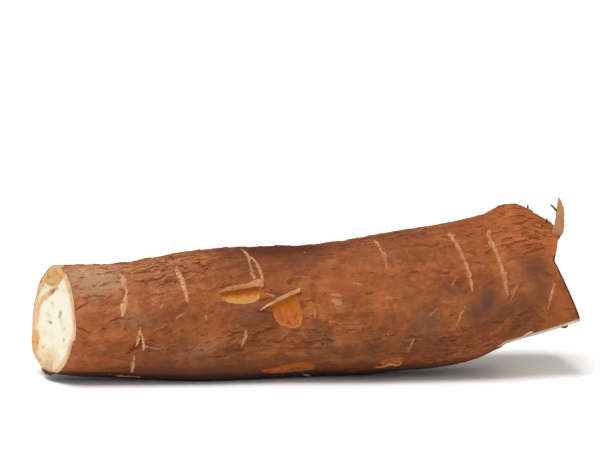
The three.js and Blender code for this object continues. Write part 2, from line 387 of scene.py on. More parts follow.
def newTree(name, numbers):  # a geometry tree with named inputs, Seed a whole number
    tree = bpy.data.node_groups.new(name, "GeometryNodeTree")
    tree.interface.new_socket("Geometry", in_out="INPUT", socket_type="NodeSocketGeometry")
    for key in numbers:
        kind = "NodeSocketInt" if key == "Seed" else "NodeSocketFloat"
        tree.interface.new_socket(key, in_out="INPUT", socket_type=kind)
    tree.interface.new_socket("Geometry", in_out="OUTPUT", socket_type="NodeSocketGeometry")
    net = Net(tree)
    return net, net.node("NodeGroupInput")


def endTree(net, geometry, material):  # every tree ends in Realize Instances and Set Material
    real = net.node("GeometryNodeRealizeInstances", None, {"Geometry": geometry})
    done = net.node("GeometryNodeSetMaterial", None, {"Geometry": real, "Material": material})
    net.node("NodeGroupOutput", None, {"Geometry": done})
    return net.tree


barkPattern = {  # noises: repeats per mm along and across the root, then detail and roughness
    "drift": (0.09, 3.6),  # repeats per mm, and how far it bends the pattern
    "ripple": (0.34, 0.81),
    "clouds": (0.055, 3),
    "slant": 0.0096,  # radians round the root for each mm along it
    "slantFrom": -22.0,
    "rows": 60,  # overlapping flakes round the root
    "wave": (0.06, 0.13, 3, 0.6),
    "waveHeight": 2.8,
    "jag": (0.2, 0.26, 2),
    "jagHeight": 1.3,
    "broken": (0.085, 0.24, 2),
    "brokenFrom": (0.46, 0.56),
    # the crack under each flake's free edge, also painted dark as its shadow
    "ledgeAndShadow": (0.76, 0.94),
    # painted highlight along each flake's free edge
    "lip": (0.0, 0.3),
    "leftwards": (-60.0, 30.0),
    "cell": (0.12, 0.3),
    "dash": (0.105, 0.64),
    "dashShare": 0.48,
    "dashRough": 0.35,
    "dashSize": 0.58,
    "dashGrain": 0.3,
    "dashSwing": (0.34, 2.4),
    "dashEdge": (-0.04, 0.1),
    "crumb": (0.2, 0.27, 4, 0.68),
    "grain": (0.34, 0.5, 4, 0.55),
    "lump": (0.05, 0.075, 2),
    "patches": (0.12, 0.17, 2),
    "broad": (0.085, 0.11, 3, 0.6),
    "mottle": (0.19, 0.22, 3, 0.6),
    "grit": (0.5, 0.75, 2),
    "fine": (1.1, 1.6, 3, 0.65),
    "streak": (0.5, 0.22, 3, 0.6),
}


def barkFields(net):  # the bark's pattern, read by its shape and by its colour
    size = barkPattern
    place = net.attribute("unrolled", vector=True)
    x = net.split(place)
    leftOf = (x - size["slantFrom"]).maths("MINIMUM", 0.0)
    slanted = net.node("ShaderNodeVectorRotate", {"rotation_type": "X_AXIS"},
                       {"Vector": place, "Angle": leftOf * size["slant"]})
    bent = net.vector("ADD", slanted, net.wander(place, *size["drift"]))
    bent = net.vector("ADD", bent, net.wander(place, *size["ripple"]))
    side = net.split(bent)
    turn = side.other("Z").maths("ARCTAN2", -side.other("Y"))
    wave = net.streaks(bent, *size["wave"]) - 0.5
    jag = net.streaks(bent, *size["jag"]) - 0.5
    rows = turn * (size["rows"] / math.tau) + wave * size["waveHeight"] + jag * size["jagHeight"]
    flake = rows.maths("FRACT")  # 0 at a flake's free edge, 1 where the next one covers it
    shown = net.step(net.streaks(bent, *size["broken"]), *size["brokenFrom"])
    cell = net.node("ShaderNodeTexVoronoi", {"feature": "F1"},
                    {"Vector": net.stretched(bent, *size["cell"]), "Scale": 1.0}, "Color")
    swung = net.vector("ADD", bent, net.wander(place, *size["dashSwing"]))
    far = net.node("ShaderNodeTexVoronoi", {"feature": "F1"},
                   {"Vector": net.stretched(swung, *size["dash"]), "Scale": 1.0}, "Distance")
    grain = net.streaks(bent, *size["grain"])
    dash = net.split(far.other("Color")) - size["dashShare"] + net.attribute("rough") * size["dashRough"]
    dash = dash * size["dashSize"] + (grain - 0.5) * size["dashGrain"]
    return {
        "place": place,
        "leftwards": 1 - net.step(x, *size["leftwards"]),
        "rise": (0.5 - flake) * shown,
        "ledgeAndShadow": net.step(flake, *size["ledgeAndShadow"]) * shown,
        "lip": (1 - net.step(flake, *size["lip"])) * shown,
        "tone": net.split(cell),
        "dash": net.step(dash - far, *size["dashEdge"]),
        "grain": grain,
        "crumb": net.streaks(place, *size["crumb"]),
        "lump": net.streaks(place, *size["lump"]),
    }


barkLook = {
    "dark": rgb(102, 52, 26),
    "middle": rgb(142, 78, 39),
    "light": rgb(176, 108, 60),
    "crack": rgb(98, 43, 20),
    "grey": rgb(134, 104, 82),
    "purple": rgb(98, 63, 48),
    "warm": rgb(182, 99, 50),
    "faded": rgb(192, 147, 113),
    "umber": rgb(92, 42, 20),
    "shade": rgb(64, 44, 40),
    # deep orange with painted shade, for the top of a tear
    "tearDeepShade": rgb(178, 94, 24),
    "tearPale": rgb(194, 134, 68),
    "tearPeach": rgb(194, 113, 60),
    "tearRed": rgb(180, 91, 40),
    "tearStreak": rgb(150, 68, 20),
    "tearRim": rgb(198, 150, 100),
    "peel": rgb(214, 202, 178),
    "peelShade": rgb(196, 172, 138),
    "scab": rgb(207, 164, 106),
    "scabSpot": rgb(160, 108, 54),
    "cork": rgb(200, 148, 106),
    "corkShade": rgb(168, 108, 68),
}


def newMaterial(name):
    made = bpy.data.materials.new(name)
    made.use_nodes = True
    made.node_tree.nodes.clear()
    return made, Net(made.node_tree)


def finishMaterial(net, colour, roughness, height, bump, specular):
    normal = net.node("ShaderNodeBump", None, {"Strength": bump, "Distance": mm, "Height": height})
    shader = net.node("ShaderNodeBsdfPrincipled", None, {
        "Base Color": colour, "Roughness": roughness, "Normal": normal, "Specular IOR Level": specular})
    net.node("ShaderNodeOutputMaterial", None, {"Surface": shader})


def makeBark():
    made, net = newMaterial("bark")
    look = barkLook
    f = barkFields(net)
    rough, faded = net.attribute("rough"), net.attribute("faded")
    stain, tear, lines = (net.split(net.attribute(key, vector=True)) for key in ("stain", "tear", "lines"))
    broad, mottle, grit, fine, streak = (net.streaks(f["place"], *barkPattern[key])
                                         for key in ("broad", "mottle", "grit", "fine", "streak"))
    clouds = net.split(net.noise(f["place"], *barkPattern["clouds"], output="Color"))
    patches = net.split(net.streaks(f["place"], *barkPattern["patches"], output="Color"))
    # tone: the raised part and free edge of each flake are painted lighter, a painted highlight
    tone = (0.5 + (broad - 0.5) * 0.45 + (mottle - 0.5) * 0.48 + (grit - 0.5) * 0.2 + (fine - 0.5) * 0.1
            + (f["grain"] - 0.5) * 0.08 + net.step(grit, 0.62, 0.72) * 0.07
            + ((f["tone"] - 0.5) * 0.24 + f["lip"] * 0.44 + f["rise"] * 0.34) * rough)
    colour = net.node("ShaderNodeValToRGB", {"stops": [
        (0.3, look["dark"]), (0.5, look["middle"]), (0.7, look["light"])]}, {0: tone})
    grainy = mottle + (grit - 0.5) * 0.5
    # dark: cracks, dashes and drawn lines; along flake edges it is painted shadow
    dark = (f["ledgeAndShadow"] * rough * 0.85).maths("MAXIMUM", f["dash"] * 0.68)
    dark = dark.maths("MAXIMUM", net.step(lines + (grit - 0.5) * 0.4, 0.15, 0.9) * 0.85)
    pale = net.step(lines.other("Y") + (grit - 0.5) * 0.5 + (fine - 0.5) * 0.3, 0.12, 0.8)
    corky = net.step(mottle + f["leftwards"] * 0.2 + (fine - 0.5) * 0.4, 0.34, 0.8)
    ragged = tear + (fine - 0.5) * 0.35 + (grit - 0.5) * 0.45
    inTear = net.step(ragged, 0.28, 0.62)
    # down each tear; its top is painted darker as the shade under the lifted flap, lighter lower down
    depth = tear.other("Y") + (mottle - 0.5) * 0.3 + (streak - 0.5) * 0.5
    reds = net.coats(look["tearStreak"], look, [
        (net.step(streak + (fine - 0.5) * 0.3, 0.36, 0.5), "tearRed"),
        (net.step(streak + (grit - 0.5) * 0.6, 0.5, 0.66) * 0.8, "tearPeach")])
    torn = net.coats(look["tearDeepShade"], look, [
        (net.step(depth, 0.42, 0.7), "tearPale"),
        (tear.other("Z") * net.step(depth, 0.3, 0.6), reds),
        (inTear * (1 - net.step(ragged, 0.5, 0.8)) * net.step(depth, 0.6, 0.9) * 0.6, "tearRim")])
    peeled = net.step(net.attribute("peeled") + (fine - 0.5) * 0.4 + (grit - 0.5) * 0.3, 0.4, 0.6)
    scab = net.blend(net.step(grainy, 0.52, 0.68), look["scab"], look["scabSpot"])
    peel = net.coats(look["peel"], look, [
        (net.step(grainy, 0.35, 0.65), "peelShade"),
        (net.attribute("scab"), scab)])
    colour = net.coats(colour, look, [
        (net.step(clouds, 0.48, 0.62) * 0.16, "warm"),
        (net.step(clouds.other("Y"), 0.5, 0.64) * 0.3, "purple"),
        (net.step(patches, 0.5, 0.62) * 0.16, "warm"),
        (net.step(patches.other("Y"), 0.52, 0.64) * 0.12, "grey"),
        # faded below zero mixes in a darker brown, partly painted shade
        (-faded * (0.6 + broad * 0.8), "umber"),
        (faded * net.step(grainy, 0.2, 0.56), "faded"),
        (stain * net.step(grainy, 0.32, 0.62), "grey"),
        (stain.other("Y") * net.step(grainy, 0.22, 0.52), "purple"),
        (stain.other("Z") * (0.3 + mottle * 0.8), "warm"),
        (dark, "crack"),
        (pale, net.blend(corky, look["corkShade"], look["cork"])),
        (inTear, torn),
        (lines.other("Z"), "shade"),
        (peeled, peel)])
    height = f["grain"] * 0.3 + fine * 0.16 + grit * 0.26 + f["rise"] * rough * 0.25 - dark * 0.25
    height = (height + ragged * inTear * 0.2) * (1 - peeled * 0.7)
    finishMaterial(net, colour, 0.66 + fine * 0.25, height, 0.38, 0.12)
    return made


fleshLook = {
    "white": rgb(233, 227, 207),
    "cream": rgb(226, 212, 178),
    "straw": rgb(222, 196, 150),
    "peach": rgb(214, 175, 135),
    "peachShade": rgb(200, 153, 111),
    "tan": rgb(208, 160, 96),
    "brown": rgb(176, 126, 62),
    "olive": rgb(208, 166, 102),
    "deepOlive": rgb(140, 98, 42),
    "speck": rgb(126, 128, 108),
}


def makeFlesh():  # attribute marks: scab, groove and speck as one vector
    made, net = newMaterial("flesh")
    look = fleshLook
    place = net.vector("MULTIPLY", net.objectPlace(), (1.0, 0.5, 1.0))
    cloudy = net.noise(place, 0.13, 3)
    patchy = net.noise(place, 0.42, 3)
    fine = net.noise(place, 1.5, 3, 0.6)
    marks = net.split(net.attribute("marks", vector=True))
    edge = net.attribute("edge") + (cloudy - 0.5) * 0.4 + (patchy - 0.5) * 0.25
    peel = net.blend(net.step(patchy + (fine - 0.5) * 0.4, 0.4, 0.65), look["peach"], look["peachShade"])
    scab = net.step(marks + (cloudy - 0.5) * 0.4, 0.2, 0.66)
    blotch = net.step(net.noise(net.vector("MULTIPLY", place, (1.0, 0.7, 1.0)), 0.5, 2), 0.54, 0.66)
    groove = marks.other("Y") + (patchy - 0.5) * 0.3
    cell = net.node("ShaderNodeTexVoronoi", {"feature": "F1"}, {"Vector": place, "Scale": 0.2})
    dot = 1 - net.step(cell + (fine - 0.5) * 0.12, 0.03, 0.13)
    dot = dot * net.step(net.noise(place, 0.17, 1), 0.54, 0.6)
    speck = net.step(marks.other("Z") + (fine - 0.5) * 0.25, 0.1, 1.05).maths("MAXIMUM", dot * 0.3)
    colour = net.coats(look["white"], look, [
        (net.step(cloudy + (patchy - 0.5) * 0.4, 0.42, 0.72), "cream"),
        (net.step(edge, 0.15, 0.6) * 0.85, "straw"),
        (net.step(edge, 0.5, 0.82), peel),
        (scab, net.blend(blotch * 0.75, look["tan"], look["brown"])),
        # the groove's olive tints: brownish colour, partly painted shade in the groove
        (net.step(groove, 0.0, 0.7) * 0.85, "olive"),
        (net.step(groove, 0.66, 1.04) * 0.9, "deepOlive"),
        (speck * 0.85, "speck")])
    height = fine * 0.35 + patchy * 0.5 - speck * 0.3 + scab * patchy * 1.2
    finishMaterial(net, colour, 0.5 + fine * 0.25, height, 0.4, 0.3)
    return made


corkLooks = {  # light, dark and what shows where it is worn
    "cork": (rgb(218, 162, 118), rgb(176, 114, 72), rgb(156, 92, 52)),
    "splinterBark": (rgb(208, 156, 114), rgb(178, 126, 86), rgb(186, 132, 88)),
    "rootlet": (rgb(104, 82, 68), rgb(56, 40, 32), rgb(80, 58, 46)),
}
footColour = rgb(108, 56, 30)  # the dark line where the splinter breaks off


def makeCork(name):  # dry pale tissue
    made, net = newMaterial(name)
    light, dark, ground = corkLooks[name]
    place = net.objectPlace()
    fine = net.noise(place, 1.1, 4, 0.65)
    broad = net.noise(place, 0.4, 2)
    bright = net.attribute("bright")
    colour = net.blend(net.step(fine * 0.7 + broad * 0.4 + bright * 0.16, 0.44, 0.8), dark, light)
    worn = net.step(broad + (fine - 0.5) * 0.5 - bright * 0.2, 0.4, 0.56)
    colour = net.blend(worn * 0.75, colour, ground)
    colour = net.blend(net.attribute("foot"), colour, footColour)
    finishMaterial(net, colour, 0.75 + broad * 0.15, fine, 0.5, 0.15)
    return made


barkMaterial = makeBark()
fleshMaterial = makeFlesh()
corkMaterial, splinterMaterial, rootletMaterial = (makeCork(name) for name in corkLooks)
print("materials made")


barkMarks = {  # by x in mm and angle; a spot is (x, angle, long, round, amount)
    "tears": [
        {"deep": 0.9, "red": 0, "outline": [
            (-42.2, 28.6), (-41.4, 23), (-39.4, 19.8), (-36, 18.6), (-31.2, 17.8), (-27.2, 18.2),
            (-24.8, 21.4), (-24, 27), (-24.2, 33), (-33, 33.5)]},
        {"deep": 0.9, "red": 0.85, "outline": [
            (-20.2, 15.2), (-18.6, 10.6), (-17.6, 5), (-16.4, 1), (-14.4, -3), (-12.4, -3.2), (-10.6, -5),
            (-8, -5.2), (-5.4, -3), (-5.2, 2), (-4.3, 7.4), (-5.8, 12), (-6.6, 17.5), (-7.4, 23),
            (-13, 20)]},
        {"deep": 0.5, "red": 0.75, "outline": [
            (33, -46), (35.5, -41.4), (41, -41.2), (45, -44), (44, -49.5), (35, -52)]},
        {"deep": 0.25, "red": 1, "soft": 1.6, "outline": [
            (-23, -51), (-17, -48.6), (-12, -45.6), (-6, -43.4), (-0.6, -43.6), (2.4, -48), (1.4, -55),
            (-5, -58.6), (-12, -58.6), (-19, -55.6)]},
        {"deep": 0.9, "red": 0.2, "outline": [
            (15, 160), (31.6, 158.6), (32.4, 150), (28, 144), (19, 143), (15.4, 150)]},
        {"deep": 0.8, "red": 0.8, "outline": [
            (-86, 196), (-82, 203), (-74, 204), (-70, 197), (-73, 190), (-82, 189)]},
    ],
    "tearSoft": 0.9,
    "tearWall": (-0.8, 0.3),
    "grey": [
        (-103, 54, 13, 5, 0.6), (-83, 8, 7, 5, 0.65), (-50, -23, 12, 7, 0.5), (-28, 9, 9, 6, 0.3),
        (51.5, -13, 8, 5, 0.32), (-70, 45, 9, 3, 0.4), (94, 10, 5, 4, 0.4), (-60, 150, 20, 10, 0.5),
    ],
    "purple": [
        (-26, 6, 9, 6, 0.5), (82.5, 0, 4.5, 7, 1.1), (78, -8, 6, 5, 0.9), (106, 14, 6, 6, 0.8),
        (109, -4, 4, 7, 0.7), (88, -16, 12, 4, 0.5), (62, 14, 7, 5, 0.4), (52, -12, 8, 6, 0.34),
        (79.5, -4, 4, 12, 0.4), (18, -32, 20, 6, 0.3), (-72, -30, 9, 7, 0.5), (30, 190, 16, 12, 0.6),
    ],
    "warm": [
        (98, 66, 26, 15, 0.8), (14, 26, 26, 12, 0.3), (119, -20, 8, 9, 0.9), (118, 44, 5, 14, 1),
        (-106, -4, 12, 14, 0.6), (-52, -3, 12, 5, 0.5), (85, 165, 20, 14, 0.7), (31, 8, 4, 6, 0.7),
        (-104, -38, 16, 8, 0.5),
    ],
    "shade": [
        (-14, 84, 34, 9, 0.26), (34, 88, 30, 6, 0.2), (-10, 56, 34, 7, 0.2), (30, 50, 20, 6, 0.18),
        (-90, 95, 34, 2.6, 0.6), (-5, -92, 120, 15, 0.95), (-62, -45, 26, 5, 0.36), (-30, -42, 40, 7, 0.24),
        (50, -32, 50, 9, 0.22), (104, -24, 18, 10, 0.2), (-124, -88, 7, 7, 1),
    ],
    # darker brown spots; on the top middle and upper side they are painted shade
    "umber": [
        (-14, 76, 30, 11, 1.25), (44, 70, 26, 12, 0.55), (78, 68, 20, 12, 0.6), (78, 46, 18, 9, 0.2),
        (-50, 32, 10, 8, 0.3), (8, 30, 14, 8, 0.16), (-26, 0, 16, 13, 0.5), (-16, 44, 24, 8, 0.34),
        (66, 26, 22, 9, 0.2), (2, 26, 14, 8, 0.14), (50, -30, 44, 10, 0.3), (-64, 4, 20, 12, 0.16),
        (46, 48, 18, 9, 0.36),
    ],
    "faded": [
        (-102, 62, 16, 15, 1), (-66, 72, 28, 12, 0.3), (-72, 30, 26, 12, 0.12), (-115, -10, 5, 20, 0.4),
        (-112, 10, 8, 16, 0.15), (40, 58, 30, 8, 0.25),
    ],
    "rough": [
        (-72, 68, 44, 17, 1), (-100, 10, 12, 20, 0.4), (-110, 62, 14, 16, 0.6), (-84, 93, 46, 12, 0.85),
        (98, 92, 26, 14, 0.95), (98, 66, 28, 18, 1), (50, 84, 36, 9, 0.8), (0, 98, 80, 12, 0.7),
        (-20, -14, 60, 14, 0.55), (70, -34, 40, 12, 0.6), (0, 180, 110, 30, 0.5),
    ],
    "roughEverywhere": 0.08,
    # painted shade: a dark band along the underside, reaching this many mm from the bottom at each x
    "underside": [(-130, 14), (-112, 19), (-92, 21.6), (-40, 22.8), (-24, 19.8), (-12, 17.6), (-2, 17.6),
                  (16, 17), (36, 17.4), (56, 11), (70, 5), (90, 0), (140, 0)],
    "undersideEdge": (-1.6, 0.6),
    "undersideAmount": 0.9,
    "shadeAboveUnderside": {"amount": 0.75, "from": -2, "to": 16, "x": (-118, -88)},
    "amounts": {"dark": 0.8, "pale": 0.62, "faint": 0.36, "bright": 0.9, "scars": 0.72},
    "spread": {"dark": 0.2, "scars": 0.1},  # wider than drawn, mm
    "dark": [  # lines of (x, angle, width) after each other
        (-86, -23, 1.6, -83, -17, 2.8, -80.2, -11, 2.4, -78.6, -6, 1),
        (-80.2, -15, 1, -75.5, -15.6, 0.9, -72.5, -18.4, 0.6),
        (-89.6, 42, 0.9, -88, 40.5, 0.9, -86.6, 36, 1.1, -88.4, 30, 0.8),
        # a dark line along the long flap's upper edge: partly a gap, partly painted shadow
        (-42.6, 33.4, 0.9, -39, 35.4, 1.2, -34, 36.4, 0.7),
        (-22.4, 26.8, 0.7, -19, 25.8, 1.5, -15.8, 23, 0.7),
        (-24.2, 18.4, 0.7, -22, 20.4, 1.2, -19.6, 21.6, 0.6),
        (-25.4, 9.4, 0.8, -21.6, 9.8, 1.6, -18.4, 7.6, 0.8),
        (98, -25, 0.7, 101.5, -23.5, 1.5, 104.5, -24, 1, 107, -22.6, 0.6),
        (-38.6, -7.2, 0.6, -35.4, -8.2, 1.3, -32, -6.8, 0.7),
        (-18.8, -17.4, 0.8, -15.6, -18, 1.3, -12.4, -15.8, 0.7),
        (4.6, -15.6, 0.6, 8, -17, 1.3, 10.4, -17.6, 0.7),
        (-48.6, -29.4, 0.6, -44, -30.4, 1.2, -40, -29.4, 0.6),
        (-22.6, -6.6, 0.6, -19, -5.2, 1.2, -16.6, -4.8, 0.6), (76.6, 33, 0.7, 79, 31.6, 1.3, 81, 29.4, 0.7),
        (60, 29.6, 0.6, 63, 27.8, 1.2, 65.6, 28.4, 0.6), (93, 36, 0.8, 98, 38, 1.3, 104, 38.4, 0.8),
        (-104, 74, 0.8, -99, 76, 1.5, -94, 73, 0.8), (-110.2, 20.3, 0.8, -108, 23.9, 1.4, -104, 28.7, 0.7),
        (-109.5, 3.8, 0.8, -105.9, 0.9, 1.4, -102.8, -3.1, 0.7),
        (-94.5, 9.1, 0.7, -89.9, 12.5, 1.2, -85.6, 10.5, 0.7),
        (-100.7, 35.5, 0.9, -98, 35.6, 1.1, -95.7, 35, 0.7),
        (-82.6, 56.2, 0.7, -78.9, 62.4, 1.4, -73.7, 66.2, 1.4, -70.8, 67.3, 0.7),
        (-81.9, 50.5, 0.7, -76.9, 48.1, 1.5, -71.2, 49.1, 1.4, -67.5, 52.3, 0.7),
        (-66.2, 75, 0.7, -60.1, 79, 1.3, -54.3, 77.6, 0.7),
        (-54.8, 66, 1, -52, 62.4, 1.4, -49.3, 57.7, 0.8),
        (-53, 52.2, 1, -50.4, 50.4, 1.3, -48.1, 47.2, 0.8),
        (-71.3, 41.3, 0.7, -66.9, 44.6, 1.1, -62.6, 45.5, 0.7), (-39.7, -10.9, 0.9, -36, -8.6, 1.1),
        (-8.8, 74.6, 0.7, -4.7, 73.9, 1.4, -1.8, 77.7, 0.7),
        (-4.3, -18, 1, -2, -18.8, 1.3, 0.4, -18.9, 0.7), (9.8, 42.3, 0.8, 12.4, 43.6, 0.8),
        (25.2, 19.1, 1, 27, 18.6, 1.5, 28.5, 19.2, 0.8), (28.3, -19.9, 1, 32.2, -19.3, 1),
        (47.2, 33.3, 1, 51.1, 31, 1), (50.9, 60.7, 0.7, 55.1, 58, 1.4, 58.5, 54.8, 1.4, 62.3, 57, 0.7),
        (63.1, 65.5, 0.9, 65, 63, 1.3, 67, 60.2, 0.8), (67.4, -33.4, 1, 71.6, -36.6, 1.4, 75.7, -38.7, 0.8),
        (73.8, 43.6, 1, 77.5, 40.2, 1.1), (82.5, 37.4, 0.9, 84.6, 39.4, 1.4, 86.4, 40.3, 0.8),
        (84.9, -19.5, 1, 88, -22.8, 1.6, 90.9, -25.5, 0.8), (90.8, 39.4, 0.7, 94.7, 37, 1.3, 97.9, 37, 0.7),
        (97.1, 57.1, 0.8, 101.5, 56.2, 1.6, 105.6, 60.6, 0.8),
        (101, 25.9, 0.7, 105.7, 29.2, 1.2, 111.9, 35, 0.7),
        (103.9, 40.7, 0.8, 107.4, 42.9, 1.4, 110.4, 43.1, 0.7),
    ],
    "pale": [
        (-64.2, 7.9, 0.5, -61.6, 10.2, 0.9, -59.1, 12.7, 0.5),
        (-77.6, -16, 0.6, -73, -18.4, 1, -70.4, -19.6, 0.5),
        (53.6, -6, 0.6, 57.4, -1.4, 0.9, 58.8, 0.8, 0.5), (65.6, 17.4, 0.5, 67.6, 21.6, 0.9, 68.6, 24, 0.5),
        (93.4, -3.6, 0.7, 96, 0.4, 1.2, 97.6, 3, 0.6), (0.8, 2, 0.6, 1.2, 6, 1.3, 0.8, 10, 0.6),
        (-49.6, 3, 0.6, -49.2, 8, 1, -49.6, 12, 0.5), (19.6, 29.4, 0.8, 22.6, 27, 1.9, 25, 25.6, 0.9),
        (-89.4, 22, 0.6, -90.6, 24, 0.9, -91.6, 22, 0.5),
        (103.2, -51, 1.4, 106, -48.6, 2.6, 108.6, -47.6, 0.8), (93.6, -56, 1.2, 95, -53, 2.4, 97, -52, 0.8),
        (19.2, -60.4, 0.8, 21, -59.8, 1.4, 23, -60, 0.7), (-3.2, -63, 0.9, -1.8, -63, 1.6, -0.6, -63, 0.9),
        (-21.8, 24.8, 0.5, -19, 23.8, 1, -16.6, 21.2, 0.5), (46, 28, 0.6, 47.4, 26, 1.1, 48, 24, 0.5),
        (60.4, 62, 0.7, 63, 63, 1.2, 66, 61, 0.7),
    ],
    "bright": [
        (9.2, 20.2, 0.9, 12, 19.6, 1.5, 13.6, 18.2, 0.8), (9.4, 15.4, 1.5, 11.4, 14.2, 2.8, 13, 13.4, 1.8),
        (68.6, 65.6, 1.2, 69.4, 63.6, 1.6), (86, 61, 1.4, 86.4, 58, 1.6),
    ],
    # faint pale marks; the two on the ridges at the upper left are painted highlights
    "faint": [
        (-70.4, 19, 0.8, -69.6, 22, 1.6, -68.4, 24, 0.8),
        (-77, 65.6, 1, -73.4, 69.6, 1.8, -70.4, 70.6, 0.9), (-84, 59, 0.8, -80.4, 65, 1.5, -76, 69, 0.9),
        (-64, 62, 0.8, -57, 66, 1.6, -52, 67, 0.9), (-67.4, 3.5, 0.8, -72.6, -0.4, 1.1, -78.2, -4.8, 0.5),
        (-7, 38, 1.4, -4, 36.6, 2.2, -1, 36, 1), (60, 6, 1.6, 64, 4.4, 2.4, 67, 4, 1.2),
        (34, 14, 1.2, 37.4, 12.6, 2.2, 40, 12.4, 1),
    ],
    # painted shade: a dark line along the chopped end's rim, where its edge is in shade
    "endShadeLine": {"wide": 1.3, "from": -48, "to": 30, "amount": 1},
    "topTear": [(-126, 62), (-126, 122), (-120.6, 119), (-118.6, 108), (-117, 99), (-115.6, 92),
                (-115.2, 85), (-117, 80), (-117.4, 74), (-119.4, 70), (-119.4, 66)],
    "topTearEdge": (-0.6, 0.5),
}


scars = [  # corky cracks, each (x, angle, width) points after each other
    (-89.4, 62, 0.6, -88, 57, 2.1, -87.4, 51, 2.8, -88, 46.5, 1.2),
    (-86.8, 45, 0.5, -86, 38, 0.8, -86.4, 32, 1.4, -87, 26.5, 2.5, -87.6, 21, 2.3, -88.2, 14, 0.6),
    (-62.6, 62, 0.5, -61.6, 54, 1.6, -60.2, 46, 2.3, -59.6, 38, 2.6, -58.4, 30, 2, -58, 22, 0.6),
    (-31, 79, 1, -28.6, 68, 1.2, -28, 57, 0.9, -27.4, 47, 0.9, -26, 36, 1),
    (-27.4, 64, 0.6, -25.2, 55, 1, -23.6, 46, 1.2, -22.8, 38, 1.5, -23.2, 34, 1.6, -23.6, 31, 1.8),
    (32.2, 80, 0.8, 33.6, 66, 1.4, 34.8, 55, 1.1, 35.8, 45, 1, 35.6, 38, 0.6),
    (67.4, 67, 1.5, 69.4, 55, 1.9, 71.4, 42, 1.5, 73.4, 31, 1.6, 74.4, 20, 1.9, 75.2, 10, 0.7),
    (85.2, 57, 1.5, 86.4, 47, 1.9, 88, 35, 1.8, 89.4, 23, 1.6, 90.8, 12, 2.5, 91.6, 3, 1.6, 92.4, -4, 0.5),
    (-31, -6, 0.5, -31.4, -12, 1.4, -32.2, -17, 1.2, -32.8, -21, 0.5),
    (-79.8, 4, 0.5, -80.6, -3, 1.3, -81.8, -12, 1.2, -82.4, -16, 0.5),
    (-80, 1, 0.4, -79, -8, 1, -78.6, -16, 1.3, -78.8, -20, 0.5),
    (-83.2, -25, 0.5, -83.4, -34, 1.6, -84, -43, 1.6, -84.4, -50, 0.5),
    (48.2, -22, 0.4, 47.4, -27, 1.2, 46.4, -33, 0.9, 46, -37, 0.4),
    (115.4, 4, 0.5, 114.6, -4, 1.4, 113.4, -13, 1, 112.6, -20, 0.4),
    (96.8, 0, 0.4, 95, -5, 1.2, 93.6, -9, 0.5), (70.8, -4, 0.4, 69.6, -9, 1.1, 68.2, -15, 0.5),
    (-71.6, 122, 0.5, -70.6, 138, 2.2, -69, 152, 1.8, -68.4, 165, 0.5),
    (-36.4, 150, 0.5, -37.6, 170, 2, -38.6, 188, 1.5, -39.4, 204, 0.5),
    (2, 108, 0.5, 3.4, 124, 1.8, 5, 138, 1.6, 6, 150, 0.5),
    (11, 188, 0.5, 11.8, 202, 1.6, 12.6, 214, 1.3, 13, 226, 0.5),
    (54, 132, 0.5, 52.6, 148, 2.3, 51, 166, 1.7, 50, 180, 0.5),
    (89.6, 140, 0.5, 91.4, 158, 2, 93, 172, 1.7, 94.4, 186, 0.5),
    (-99, 184, 0.5, -99.6, 200, 1.8, -100.6, 214, 1.3, -101, 226, 0.5),
    (66.6, 206, 0.5, 67.6, 220, 1.6, 68.8, 232, 1.3, 69.4, 240, 0.5),
]


